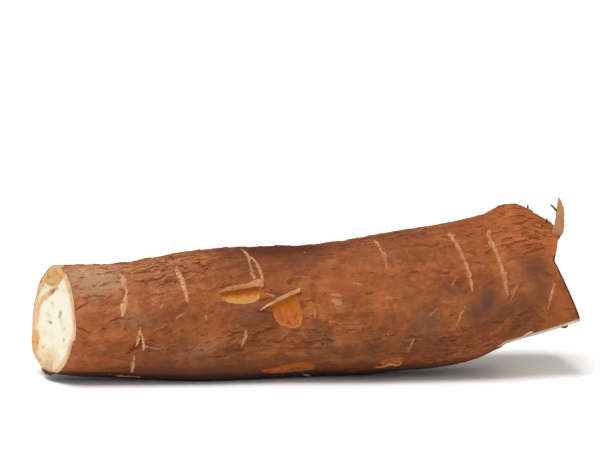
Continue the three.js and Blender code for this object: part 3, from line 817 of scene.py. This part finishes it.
def barkAttributes(x, deg, right):
    scale = rootShape["mmPerDegree"]
    marks = {**barkMarks, "scars": scars}

    def local(middle):  # mm round the root from an angle
        return ((deg - middle + 180) % 360 - 180) * scale

    def spots(kind):
        return np.max([blob(x, local(middle), (at, 0, *size)) for at, middle, *size in marks[kind]], axis=0)

    def strokes(kind):
        total = np.zeros(x.shape)
        for path in marks[kind]:
            points = np.reshape(path, (-1, 3)) + (0, 0, marks["spread"].get(kind, 0))
            start = points[0, 1]
            points[:, 1] = (points[:, 1] - start) * scale
            total = np.maximum(total, strokeCover(x, local(start), points))
        return total * marks["amounts"][kind]

    tear = np.zeros((*x.shape, 3))
    sunk = np.zeros(x.shape)
    for spot in marks["tears"]:
        angles = [a for _, a in spot["outline"]]
        middle = (max(angles) + min(angles)) / 2
        reach = (max(angles) - min(angles)) / 2 * scale
        v = local(middle)
        gap = outlineGap(x, v, [(px, (a - middle) * scale) for px, a in spot["outline"]])
        soft = spot.get("soft", marks["tearSoft"])
        inside = 1 - ease(gap, -soft, soft)
        below = (v if 90 < middle < 270 else -v) / reach
        keep = inside > tear[..., 0]
        tear[keep] = np.stack([inside, below / 2 + 0.5, np.full(x.shape, spot["red"])], -1)[keep]
        sunk = np.maximum(sunk, (1 - ease(gap, *marks["tearWall"])) * spot["deep"])
    # painted shade along the underside, and softer painted shade above it towards the thin end
    fromUnder = abs(local(270)) - np.interp(x, *np.array(marks["underside"], float).T)
    under = (1 - ease(fromUnder, *marks["undersideEdge"])) * marks["undersideAmount"]
    above = marks["shadeAboveUnderside"]
    umber = (1 - ease(fromUnder, above["from"], above["to"])) * ease(x, *above["x"]) * above["amount"]
    # the dark line at the chopped end is painted shade
    end = marks["endShadeLine"]
    atEnd = (right - x < end["wide"]) & ((deg < end["to"]) | (deg > 360 + end["from"]))
    topTear = outlineGap(x, local(90), [(px, (a - 90) * scale) for px, a in marks["topTear"]])
    topTear = 1 - ease(topTear, *marks["topTearEdge"])
    dark = np.maximum(strokes("dark"), atEnd * end["amount"])
    pale = np.max([strokes(kind) for kind in ("pale", "scars", "faint", "bright")], axis=0)
    return {
        "scab": topTear,
        "peeled": topTear,
        "tear": tear,
        "stain": np.stack([spots("grey"), spots("purple"), spots("warm")], -1),
        "lines": np.stack([dark, pale, np.maximum(spots("shade"), under)], -1),
        "faded": spots("faded") - np.maximum(umber, spots("umber")),  # below zero it is darker brown, partly painted shade
        "rough": np.maximum(spots("rough"), marks["roughEverywhere"]),
    }, sunk


peelEdge = {  # both cut ends under the flesh, mm in from the bark
    "insets": [0.25, 0.5, 0.8, 1.3, 1.8, 2.4, 3.2, 5, 9, 15, 21],
    "sinks": [0.05, 0.17, 0.2, 0.5, 0.9, 1.2, 1.2, 1.2, 1.2, 1.2, 1.2],
    "lips": [(272, 15, 1.2), (136, 22, 0.7)],  # bark past the knife cut: angle, degrees wide, mm of reach
    "leftCaps": {"peeled": 1.0, "scab": 0.6},
    "farRim": {"wide": 0.8, "from": 118, "to": 252},
    "stripRise": (1.3, 2.1),  # how high the peel shows above the chop's lower edge
    "stripStart": 93,
    "chopFoot": (94.6, 16.5),
    "chopSlope": 3.14,
}


def insetRing(rim, distance, endX, deeper):  # rim points drawn towards the middle of a cut end
    middle = rim.mean(axis=0)
    reach = np.linalg.norm(rim[:, 1:] - middle[1:], axis=1, keepdims=True)
    flat = middle[1:] + (rim[:, 1:] - middle[1:]) * np.maximum(1 - distance / reach, 0.02)
    return np.column_stack([endX(flat[:, 0], flat[:, 1]) + deeper, flat])


cutFaceMarks = {  # (across, up, wide, high, amount) in mm on the knife cut
    "scabs": [
        (18, 15, 5, 7, 1), (-4, 1.5, 9, 2.6, 0.9), (-12, 6, 4, 4, 0.3), (-0.6, 44.6, 2.6, 1.8, 0.62),
        (9, 43, 9, 2.8, 0.3), (17.4, 36, 3.4, 5, 0.34), (19, 30, 3, 9, 0.45),
    ],
    "straw": [  # warm cream places away from the rim
        (2, 3, 20, 14, 0.8), (20, 28, 7, 22, 0.5), (2, 46, 12, 5, 0.45),
    ],
    "specks": [
        (-6.8, 33.4, 2.2, 1.5, 1), (-6.2, 31.6, 1.8, 1.3, 0.85), (4.1, 27.2, 3.4, 1, 0.9),
        (9, 30.6, 4.6, 1.3, 0.45), (-14, 27, 1.7, 1.2, 0.6), (-14, 21.7, 1.6, 1.6, 0.8),
        (3.7, 36.7, 2.6, 0.9, 0.55), (9.2, 14.4, 2.4, 1, 0.6), (16.6, 43, 1.2, 1.4, 0.9),
    ],
}


def scabCover(y, z):  # browned places on the knife cut
    cover = 1 - ease(outlineGap(y, z, cutFace["scab"]), *cutFace["scabStain"])
    return np.maximum(cover, spotCover(y, z, cutFaceMarks["scabs"]))


def buildRoot():
    edge = peelEdge
    count = rootShape["stepsAround"]
    deg = np.arange(count) * 360 / count
    left, right = rims(deg)
    for at, wide, reach in edge["lips"]:
        left = left - reach * np.exp(-((deg - at) / wide) ** 2)
    x = left + (right - left) * np.linspace(0, 1, rootShape["stepsAlong"])[:, None]
    around = np.broadcast_to(deg, x.shape)
    fields, sunk = barkAttributes(x, around, right)
    skin = onBark(x, deg, -sunk)
    footX, footZ = edge["chopFoot"]
    aboveChop = skin[..., 2] - (footZ + (x - footX) / edge["chopSlope"])
    strip = (x > edge["stripStart"]) * (1 - ease(aboveChop, *edge["stripRise"]))
    fields["peeled"] = np.maximum(fields["peeled"], strip)
    far = edge["farRim"]
    farRim = (x - left < far["wide"]) & (deg > far["from"]) & (deg < far["to"])
    for key, value in edge["leftCaps"].items():
        fields[key] = np.where(farRim, value, fields[key])
    angle = np.radians(around)
    fields["outward"] = np.stack([np.zeros(x.shape), -np.cos(angle), np.sin(angle)], -1)
    steps = list(zip(edge["insets"], edge["sinks"]))
    leftCap = [insetRing(skin[0], inset, knifeX, sink) for inset, sink in steps]
    rightCap = [insetRing(skin[-1], inset, chopX, -sink) for inset, sink in steps]
    rings = [*leftCap[::-1], *skin, *rightCap]
    points = np.vstack([*rings, leftCap[-1].mean(axis=0), rightCap[-1].mean(axis=0)])
    ready = {}
    for key, values in fields.items():
        onLeft = np.full((len(steps), *values.shape[1:]), edge["leftCaps"].get(key, 0.0))
        onRight = np.full(onLeft.shape, 1.0 if key == "peeled" else 0.0)
        ready[key] = withTips(np.concatenate([onLeft, values, onRight]).reshape(-1, *values.shape[2:]))
    allX = np.concatenate([np.repeat(left[None], len(steps), 0), x, np.repeat(right[None], len(steps), 0)])
    ready["unrolled"] = withTips(unrolled(allX, np.broadcast_to(deg, allX.shape)).reshape(-1, 3))
    return addMesh("rootBark", points, shellFaces(len(rings), count), **ready)


barkRelief = {"Lump Height": 1.0, "Grain Height": 0.35, "Crumb Height": 4.2, "Flake Height": 0.7,
              "Crack Depth": 0.25, "Scar Height": 0.25}


def reliefTree():  # lifts and cracks the bark along its outward direction
    net, source = newTree("barkReliefTree", barkRelief)
    f = barkFields(net)
    rough = net.attribute("rough")
    lines = net.split(net.attribute("lines", vector=True))
    calm = 1 - net.attribute("peeled").maths("MINIMUM", 1.0)
    cracks = (f["ledgeAndShadow"] * rough).maths("MAXIMUM", f["dash"] * 0.4).maths("MAXIMUM", lines)
    size = source.other
    height = ((f["lump"] - 0.5) * size("Lump Height") + (f["grain"] - 0.5) * size("Grain Height")
              + (f["crumb"] - 0.5) * rough ** 2.0 * size("Crumb Height")
              + f["rise"] * rough * size("Flake Height") - cracks * size("Crack Depth")
              + lines.other("Y") * size("Scar Height"))
    lifted = net.moved(source, Offset=net.scaled(net.attribute("outward", vector=True), height * calm * mm))
    place = net.split(net.node("GeometryNodeInputPosition"))
    above = net.node("ShaderNodeCombineXYZ", None,
                     {0: place, 1: place.other("Y"), 2: place.other("Z").maths("MAXIMUM", 0.0)})
    return endTree(net, net.moved(lifted, Position=above), barkMaterial)


rootBark = runTree(buildRoot(), reliefTree(), barkRelief)
print("root body made:", len(rootBark.data.polygons), "faces")


fleshDisc = {"around": 300, "steps": 68, "inset": 0.5, "edgeWidth": 6.5,
             "lips": [(1.6, 1.5), (1.2, 1.4), (0.7, 0.8), (0.45, 0.14), (0.6, 0.04), (0.9, 0.0)]}


def buildFlesh(name, endX, side, rimIndex, marksAt, strawSpots):
    count = fleshDisc["around"]
    deg = np.arange(count) * 360 / count
    rim = onBark(rims(deg)[rimIndex], deg)
    rings = [insetRing(rim, inset, endX, side * deep) for inset, deep in fleshDisc["lips"]]
    middle = rim.mean(axis=0)
    start = rings[-1]
    for share in np.linspace(1, 0, fleshDisc["steps"] + 1)[1:-1]:
        flat = middle[1:] + (start[:, 1:] - middle[1:]) * share
        rings.append(np.column_stack([endX(flat[:, 0], flat[:, 1]), flat]))
    centre = np.array([float(endX(middle[1], middle[2])), middle[1], middle[2]])
    points = np.vstack([*rings, centre, centre + np.array([side * fleshDisc["lips"][0][1], 0, 0])])
    reach = np.linalg.norm(points[:, 1:] - middle[1:], axis=1)
    full = np.tile(np.linalg.norm(rim[:, 1:] - middle[1:], axis=1), len(rings))
    full = np.concatenate([full, full[:2]])
    edge = np.clip(1 - (full - reach - fleshDisc["inset"]) / fleshDisc["edgeWidth"], 0, 1)
    for spot in strawSpots:
        edge = np.maximum(edge, blob(points[:, 1], points[:, 2], spot))
    marks = marksAt(points[:, 1], points[:, 2])
    return addMesh(name, points, shellFaces(len(rings), count, 1, 0), edge=edge, marks=marks)


def cutMarks(y, z):  # scab, groove and specks of the knife cut
    faint, deep = cutFace["grooveTintAndShade"]
    groove = strokeCover(y, z, cutFace["groove"]) * (faint + deep * blob(y, z, cutFace["grooveCore"]))
    return np.stack([scabCover(y, z), groove, spotCover(y, z, cutFaceMarks["specks"])], -1)


neckMarks = [(8, 60, 14, 8, 0.8), (-10, 30, 8, 6, 0.6), (14, 36, 6, 9, 0.5)]


def brokenMarks(y, z):
    scab = spotCover(y, z, neckMarks)
    return np.stack([scab, 0 * scab, 0 * scab], -1)


fleshRelief = {"cut": {"Ripple": 0.12, "Torn": 0.25}, "neck": {"Ripple": 0.35, "Torn": 1.3}}


def fleshTree():  # cut marks and torn fibres, pushed along the root
    net, source = newTree("fleshReliefTree", fleshRelief["cut"])
    flat = net.vector("MULTIPLY", net.scaled(net.node("GeometryNodeInputPosition"), 1 / mm), (0.0, 1.0, 1.0))
    ripple = net.noise(net.vector("MULTIPLY", flat, (1, 0.9, 0.25)), 1.0, 3) - 0.5
    torn = net.noise(flat, 0.16, 3) - 0.5
    inner = 1 - net.step(net.attribute("edge"), 0.7, 1.0)
    lift = (ripple * source.other("Ripple") + torn * source.other("Torn")) * inner * mm
    offset = net.node("ShaderNodeCombineXYZ", None, {0: lift})
    return endTree(net, net.moved(source, Offset=offset), fleshMaterial)


fleshReliefTree = fleshTree()
cutFlesh = buildFlesh("cutFlesh", knifeX, 1, 0, cutMarks, cutFaceMarks["straw"])
neckFlesh = buildFlesh("neckFlesh", chopX, -1, 1, brokenMarks, [])
for made, relief in ((cutFlesh, "cut"), (neckFlesh, "neck")):
    runTree(made, fleshReliefTree, fleshRelief[relief])
print("flesh made")


flaps = [  # strips of lifted bark; path is (x, angle, width) along the lower lip
    {"name": "longFlap", "lift": 1.5, "pale": (0.32, 0.62), "path": [
        (-43, 28.8, 0.3), (-41.6, 28.8, 1.4), (-38, 29.8, 2.0), (-33, 30.4, 2.3), (-29, 31.2, 2.4),
        (-26, 31.8, 3.3), (-24, 31.4, 3.6), (-22.6, 30.8, 2.6), (-22, 31, 0.6)]},
    {"name": "spearFlap", "lift": 1.5, "path": [
        (-24.4, 11, 0.2), (-22.6, 12.4, 0.9), (-20, 14.6, 1.2), (-16, 17.6, 1.6), (-11.5, 20.8, 1.7),
        (-7.4, 23.2, 1.8), (-5.6, 24.4, 1.6), (-5.2, 24.8, 0.5)]},
    {"name": "lowFlap", "lift": 0.9, "path": [
        (30.5, -53, 0.3), (33.6, -54.4, 0.8), (36, -52.6, 1.3), (37.6, -50.6, 1.6), (39.4, -51.2, 1.2),
        (41.4, -54, 1.0), (43, -52.4, 1.1), (44, -49, 0.5)]},
    {"name": "underFlake", "lift": 0.6, "peeled": 0.0, "pale": (0.5, 0.7), "path": [
        (-91.6, -61, 0.3), (-90, -61.4, 0.9), (-88.6, -60, 1.3), (-87, -61.4, 0.6), (-85, -60.4, 1.0),
        (-83, -61, 0.4), (-81, -60.4, 0.7), (-79.6, -61, 0.3)]},
    {"name": "innerCrumb", "lift": 0.8, "peeled": 0.8, "path": [
        (90.4, -56, 0.3), (91.6, -54.8, 1.2), (93, -53.4, 1.5), (94.2, -52.4, 0.9), (95, -52, 0.3)]},
    {"name": "lowCrumb", "lift": 0.6, "peeled": 0.8, "path": [
        (-2.2, -67.6, 0.3), (-1.2, -68.6, 1.0), (-0.2, -69, 1.2), (0.9, -68.4, 0.3)]},
    {"name": "outerCrumb", "lift": 0.7, "peeled": 0.7, "path": [
        (102.2, -50, 0.3), (103.4, -48.6, 1.0), (104.8, -47.2, 1.5), (106, -46, 1.0), (107, -45, 0.3)]},
    {"name": "backFlap", "lift": 1.6, "path": [
        (14.6, 160.8, 0.3), (17, 160.8, 1.4), (22, 160, 1.8), (28, 159.4, 1.9), (31, 159.4, 1.3),
        (32, 159.6, 0.3)]},
]
flapSection = [  # (up the width, out, pale) round a lifted strip
    (0.1, -1.2, 0), (-0.02, 0.25, 0), (-0.14, 0.6, 0), (-0.16, 0.85, 1), (-0.04, 1.0, 1), (0.2, 1.0, 1),
    (0.5, 0.92, 1), (0.8, 0.8, 1), (0.95, 0.62, 0.6), (1.04, 0.4, 0), (1.2, 0.1, 0), (1.35, -1.2, 0)]
flapForm = {"steps": 90, "least": 0.15, "steepest": 0.8, "crest": (0.08, 0.04), "sway": 0.07}


def buildFlap(flap):
    path = np.array(flap["path"])
    x = np.linspace(path[0, 0], path[-1, 0], flapForm["steps"])
    deg = along(path[:, :2], x)
    wide = np.maximum(along(path[:, ::2], x), flapForm["least"])
    up, out, pale = np.array(flapSection).T
    slow, quick = flapForm["crest"]
    high = np.minimum(flap["lift"], wide * flapForm["steepest"])
    high = high * (1 + slow * np.sin(x * 0.9) + quick * np.sin(x * 2.3 + 1))
    behind = 90 < path[0, 1] < 270
    rise = up * wide[:, None] + flapForm["sway"] * np.sin(x * 1.1)[:, None]
    spot = deg[:, None] + (-1 if behind else 1) * rise / rootShape["mmPerDegree"]
    lift = np.where(out > 0, out * high[:, None], out)
    across = np.broadcast_to(x[:, None], spot.shape)
    lines = np.zeros((*spot.shape, 3))
    lines[..., 1] = pale * np.interp(x, path[[0, -1], 0], flap.get("pale", (1, 1)))[:, None]
    peeled = lines[..., 1] * flap.get("peeled", 0.0)
    return loft(flap["name"], barkMaterial, onBark(across, spot, lift), lines=lines.reshape(-1, 3),
                peeled=peeled.ravel(), unrolled=unrolled(across, spot).reshape(-1, 3))


splinter = {  # y, left and right edge in x at each height z
    "z": [61, 66, 70, 75.5, 81, 84.5, 86.6],
    "y": [-12.8, -13.8, -14.8, -15.4, -15.6, -15.3, -15.0],
    "left": [118.4, 118, 117.3, 118.5, 119.2, 119.6, 120.0],
    "right": [118.9, 120.6, 122.9, 123.1, 122.8, 121.7, 120.5],
    "thick": 1.1, "bow": 0.5, "ridges": 0.12, "waver": 0.05, "back": 0.35,
    "rings": 70, "around": 18,
    "foot": (67.6, 0.8),  # height and width of the dark line
}


def buildSplinter():
    form = splinter
    z = np.linspace(form["z"][0], form["z"][-1], form["rings"])
    y, left, right = (along(list(zip(form["z"], form[key])), z)[:, None] for key in ("y", "left", "right"))
    a = np.arange(form["around"]) * math.tau / form["around"]
    height = z[:, None] + 0 * a
    half = (right - left) / 2 * (1 + form["waver"] * np.sin(height * 2.1))
    x = (left + right) / 2 + half * np.sign(np.cos(a)) * np.abs(np.cos(a)) ** 0.7
    y = (y + form["back"] + form["thick"] / 2 * np.sin(a) - form["bow"] * np.cos(a) ** 2
         + form["ridges"] * np.sin(a * 3 + height))
    footZ, footWide = form["foot"]
    foot = np.exp(-((height - footZ) / footWide) ** 2)
    return loft("neckSplinter", splinterMaterial, np.stack([x, y, height], -1), foot=foot.ravel())


crumb = {"middle": (123, -17.6, 25.2), "half": (2.3, 1.8, 1.4), "knobs": (0.16, 0.1),
         "around": 16, "rings": 12}


def buildCrumb():  # the torn crumb of peel under the chop
    a = np.arange(crumb["around"]) * math.tau / crumb["around"]
    v = np.linspace(-0.97, 0.97, crumb["rings"])[:, None]
    big, small = crumb["knobs"]
    r = np.sqrt(1 - v * v) * (1 + big * np.sin(3 * a + 5 * v) + small * np.sin(5 * a - 7 * v))
    unit = np.stack([v + 0 * a, r * np.cos(a), r * np.sin(a)], -1)
    return loft("peelCrumb", rootletMaterial, np.array(crumb["middle"]) + unit * np.array(crumb["half"]))


strandShape = {
    "scars": {"Spacing": 0.4, "Roughness": 0.26, "Grain": 1.1},
    "rootlets": {"Spacing": 0.4, "Roughness": 0.12, "Grain": 1.5},
}


def strandTree(name, material):  # round strands along edge chains, thick as their girth says
    net, source = newTree(name, strandShape["scars"])
    curve = net.node("GeometryNodeMeshToCurve", None, {"Mesh": source})
    curve = net.node("GeometryNodeResampleCurve", {"mode": "LENGTH"},
                     {"Curve": curve, "Length": source.other("Spacing") * mm})
    profile = net.node("GeometryNodeCurvePrimitiveCircle", {"mode": "RADIUS"},
                       {"Resolution": 28, "Radius": mm})
    body = net.node("GeometryNodeCurveToMesh", None, {
        "Curve": curve, "Profile Curve": profile, "Scale": net.attribute("girth"), "Fill Caps": True})
    place = net.scaled(net.node("GeometryNodeInputPosition"), 1 / mm)
    shake = net.wander(place, source.other("Grain"), source.other("Roughness") * (2 * mm))
    smooth = net.node("GeometryNodeSetShadeSmooth", None, {"Geometry": net.moved(body, Offset=shake)})
    return endTree(net, smooth, material)


def addStrands(name, chains):  # chains of (points in mm, girth in mm, brightness)
    points, girth, bright = (np.concatenate(column) for column in zip(*chains))
    starts = np.cumsum([len(chain) for chain, _, _ in chains])
    edges = [(i, i + 1) for i in range(len(points) - 1) if i + 1 not in starts]
    return addMesh(name, points, [], edges, girth=girth, bright=bright)


scarForm = {"step": 0.55, "wobble": 0.17, "width": (0.3, 1.15), "height": (0.1, 0.15), "dull": (0.5, -60, 30)}


def scarChains():  # wide low ridges: thick strands sunk almost whole into the bark
    chance = np.random.default_rng(5)
    chains = []
    for path in scars:
        columns = np.reshape(path, (-1, 3)).T
        length = abs(columns[1, -1] - columns[1, 0]) * rootShape["mmPerDegree"]
        count = max(6, int(length / scarForm["step"]))
        t = np.linspace(0, columns.shape[1] - 1, count)
        x, deg, wide = (along(list(enumerate(column)), t) for column in columns)
        wobble = np.cumsum(chance.normal(0, scarForm["wobble"], count))
        wobble -= np.linspace(wobble[0], wobble[-1], count)
        wide = wide * chance.uniform(*scarForm["width"], count)
        least, rise = scarForm["height"]
        high = least + rise * wide
        girth = (wide**2 / 4 + high**2) / (2 * high)
        dull, dullFrom, dullTo = scarForm["dull"]
        chains.append((onBark(x + wobble, deg, high - girth), girth, 1 - dull * ease(x, dullFrom, dullTo)))
    return chains


rootlets = [  # hair roots: x, angle, length, lean and thickness
    (115.6, 72, 2.6, (0.4, 0.0), 0.55),
    (108.4, 91, 1.9, (0.3, 0.0), 0.6),
    (-46, 168, 4.5, (2.0, 1.4), 0.5),
    (60, 196, 4.0, (-2.0, -1.0), 0.5),
]
rootletForm = {"steps": 7, "sunk": 1.2, "bend": (0.4, 0.2, 0.1), "foot": 1.15, "taper": 0.8}
# a curl of bark along the knife cut's lower rim, in the dark rootlet finish as painted shade
shadedRimCurl = {"from": -68, "to": -104, "steps": 24, "thick": 0.85, "knobs": 0.12, "out": 0.8, "lift": -0.3}
splinterFibre = [(119.6, -15.4, 80), (118.4, -15.2, 81.4), (117.2, -15.1, 82.6), (116.1, -15.0, 83.6)]
fibreGirth = np.array([0.55, 0.5, 0.42, 0.2])


def rootletChains():
    form = rootletForm
    chains = []
    t = np.linspace(0, 1, form["steps"])
    for x, deg, long, lean, thick in rootlets:
        foot = onBark(x, deg, -form["sunk"])
        end = onBark(x, deg, long) + np.array([*lean, 0])
        bend = np.outer(np.sin(t * math.pi), form["bend"])
        girth = thick * (form["foot"] - form["taper"] * t)
        chains.append((foot + np.outer(t, end - foot) + bend, girth, 0 * t))
    chains.append((np.array(splinterFibre, float), fibreGirth, 0 * fibreGirth))
    # the rim curl, dark as painted shade
    t = np.linspace(0, 1, shadedRimCurl["steps"])
    deg = shadedRimCurl["from"] + (shadedRimCurl["to"] - shadedRimCurl["from"]) * t
    girth = shadedRimCurl["thick"] * np.sin(math.pi * (0.04 + 0.92 * t)) ** 0.6
    girth = girth * (1 + shadedRimCurl["knobs"] * np.sin(t * 21))
    chains.append((onBark(rims(deg)[0] - shadedRimCurl["out"], deg, shadedRimCurl["lift"]), girth, 0 * t))
    return chains


scatter = {
    "barkScales": {"Density": 60000.0, "Long": 1.3, "Wide": 0.6, "Thick": 0.3, "Tilt": 0.2, "Seed": 3},
    "lenticels": {"Density": 500.0, "Long": 0.55, "Wide": 0.34, "Thick": 0.24, "Tilt": 0.0, "Seed": 8},
    "tornFibres": {"Density": 90000.0, "Long": 1.6, "Wide": 0.16, "Thick": 0.16, "Tilt": 0.35, "Seed": 4},
}
scatterSpread = {  # low, high and seed
    "twist": (-0.35, 0.35, 21),
    "long": (0.55, 1.5, 22),
    "wide": (0.7, 1.3, 23),
}


def scatterTree(name, material, weight, lengthwise):  # small sunk pebbles spread over a surface
    net, source = newTree(name, scatter["barkScales"])
    spread = net.node("GeometryNodeDistributePointsOnFaces", {"distribute_method": "RANDOM"}, {
        "Mesh": source, "Density": source.other("Density") * weight(net), "Seed": source.other("Seed")})
    turn = net.node("FunctionNodeAlignRotationToVector", {"axis": "Z"}, {"Vector": spread.other("Normal")})
    turn = net.node("FunctionNodeAlignRotationToVector", {"axis": "X", "pivot_axis": "Z"},
                    {"Rotation": turn, "Vector": lengthwise})
    twist, long, wide = (net.node("FunctionNodeRandomValue", {"data_type": "FLOAT"},
                                  {"Min_001": low, "Max_001": high, "Seed": seed}, "Value_001")
                         for low, high, seed in scatterSpread.values())
    twist = net.node("ShaderNodeCombineXYZ", None, {0: source.other("Tilt"), 2: twist})
    turn = net.node("FunctionNodeRotateRotation", {"rotation_space": "LOCAL"},
                    {"Rotation": turn, "Rotate By": twist})
    scale = net.node("ShaderNodeCombineXYZ", None, {
        0: long * source.other("Long") * mm,
        1: wide * source.other("Wide") * mm,
        2: source.other("Thick") * mm})
    pebble = net.node("GeometryNodeMeshUVSphere", None, {"Segments": 8, "Rings": 5, "Radius": 1.0})
    pebble = net.node("GeometryNodeSetShadeSmooth", None, {"Geometry": pebble})
    laid = net.node("GeometryNodeInstanceOnPoints", None, {
        "Points": spread, "Instance": pebble, "Rotation": turn, "Scale": scale})
    return endTree(net, laid, material)


def scattered(name, ground, *look):
    return runTree(addObject(name, ground.data.copy()), scatterTree(name + "Tree", *look), scatter[name])


def calmBark(net):  # not on peel or torn places
    tear = net.split(net.attribute("tear", vector=True))
    return (1 - net.step(net.attribute("peeled"), 0.0, 0.2)) * (1 - net.step(tear, 0.0, 0.2))


def roughBark(net):
    return net.attribute("rough") ** 2.2 * calmBark(net)


def innerFlesh(net):
    return 1 - net.step(net.attribute("edge"), 0.6, 0.9)


barkScales = scattered("barkScales", rootBark, barkMaterial, roughBark, (1.0, 0.0, 0.2))
lenticels = scattered("lenticels", rootBark, corkMaterial, calmBark, (0.35, 0.0, 1.0))
tornFibres = scattered("tornFibres", neckFlesh, fleshMaterial, innerFlesh, (0.2, 0.3, 1.0))
corkScars = runTree(addStrands("corkScars", scarChains()), strandTree("scarTree", corkMaterial),
                    strandShape["scars"])
# the rootlets piece also holds the splinter fibre and the rim curl, whose dark finish is painted shade
fineRootlets = runTree(addStrands("rootlets", rootletChains()), strandTree("rootletTree", rootletMaterial),
                       strandShape["rootlets"])
print("scars, scales and fibres made")


sharpFrom = 55  # degrees
shaded = [rootBark, cutFlesh, neckFlesh, buildSplinter(), buildCrumb(), *(buildFlap(flap) for flap in flaps)]
for made in shaded:
    made.data.shade_smooth()
    made.data.set_sharp_from_angle(angle=math.radians(sharpFrom))
pieces = [*shaded, barkScales, lenticels, tornFibres, corkScars, fineRootlets]
for made in pieces:
    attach(made, "root")
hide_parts("cassava_root")
print("pieces:", ", ".join(f"{p.name} {len(p.data.polygons)}" for p in pieces))


studio = {
    "floorSize": 80.0,
    "floor": {"Base Color": [0.92, 0.92, 0.92, 1], "Roughness": 0.9, "Specular IOR Level": 0.1},
    "world": {"Color": (1, 1, 1, 1), "Strength": 0.56},
    "lights": {  # suns
        "topLight": {"energy": 2.25, "softness": 30, "towards": (0.24, 0.3, -0.9)},
        "sideLight": {"energy": 0.58, "softness": 60, "towards": (0.62, 0.6, -0.5)},
    },
}


def buildStudio():
    bpy.ops.mesh.primitive_plane_add(size=studio["floorSize"])
    floor = bpy.context.object
    floor.name = "floor"
    made, net = newMaterial("paleFloor")
    shader = net.node("ShaderNodeBsdfPrincipled", None, studio["floor"])
    net.node("ShaderNodeOutputMaterial", None, {"Surface": shader})
    floor.data.materials.append(made)
    world = bpy.data.worlds.new("studioWorld")
    bpy.context.scene.world = world
    world.use_nodes = True
    for key, value in studio["world"].items():
        world.node_tree.nodes["Background"].inputs[key].default_value = value
    for name, light in studio["lights"].items():
        lamp = bpy.data.lights.new(name, "SUN")
        lamp.energy = light["energy"]
        lamp.angle = math.radians(light["softness"])
        turn = Vector(light["towards"]).to_track_quat("-Z", "Y")
        addObject(name, lamp).rotation_euler = turn.to_euler()


view = {"azimuth": -6.0, "elevation": 7.0, "distance": 1.0, "target": (-2.5, 0, 71.5),
        "lens": 125, "sensor": 36, "farthest": 90}


def buildCamera():
    azimuth, elevation = math.radians(view["azimuth"]), math.radians(view["elevation"])
    back = np.array([math.sin(azimuth) * math.cos(elevation), -math.cos(azimuth) * math.cos(elevation),
                     math.sin(elevation)])
    lens = bpy.data.cameras.new("camera")
    lens.sensor_width = view["sensor"]
    lens.lens = view["lens"]
    lens.clip_end = view["farthest"]
    made = addObject("camera", lens)
    made.location = (np.array(view["target"]) + centring) * mm + back * view["distance"]
    made.rotation_euler = (math.pi / 2 - elevation, 0, azimuth)
    bpy.context.scene.camera = made


buildStudio()
buildCamera()
bpy.context.scene.view_settings.view_transform = "Standard"
print("studio and camera made")
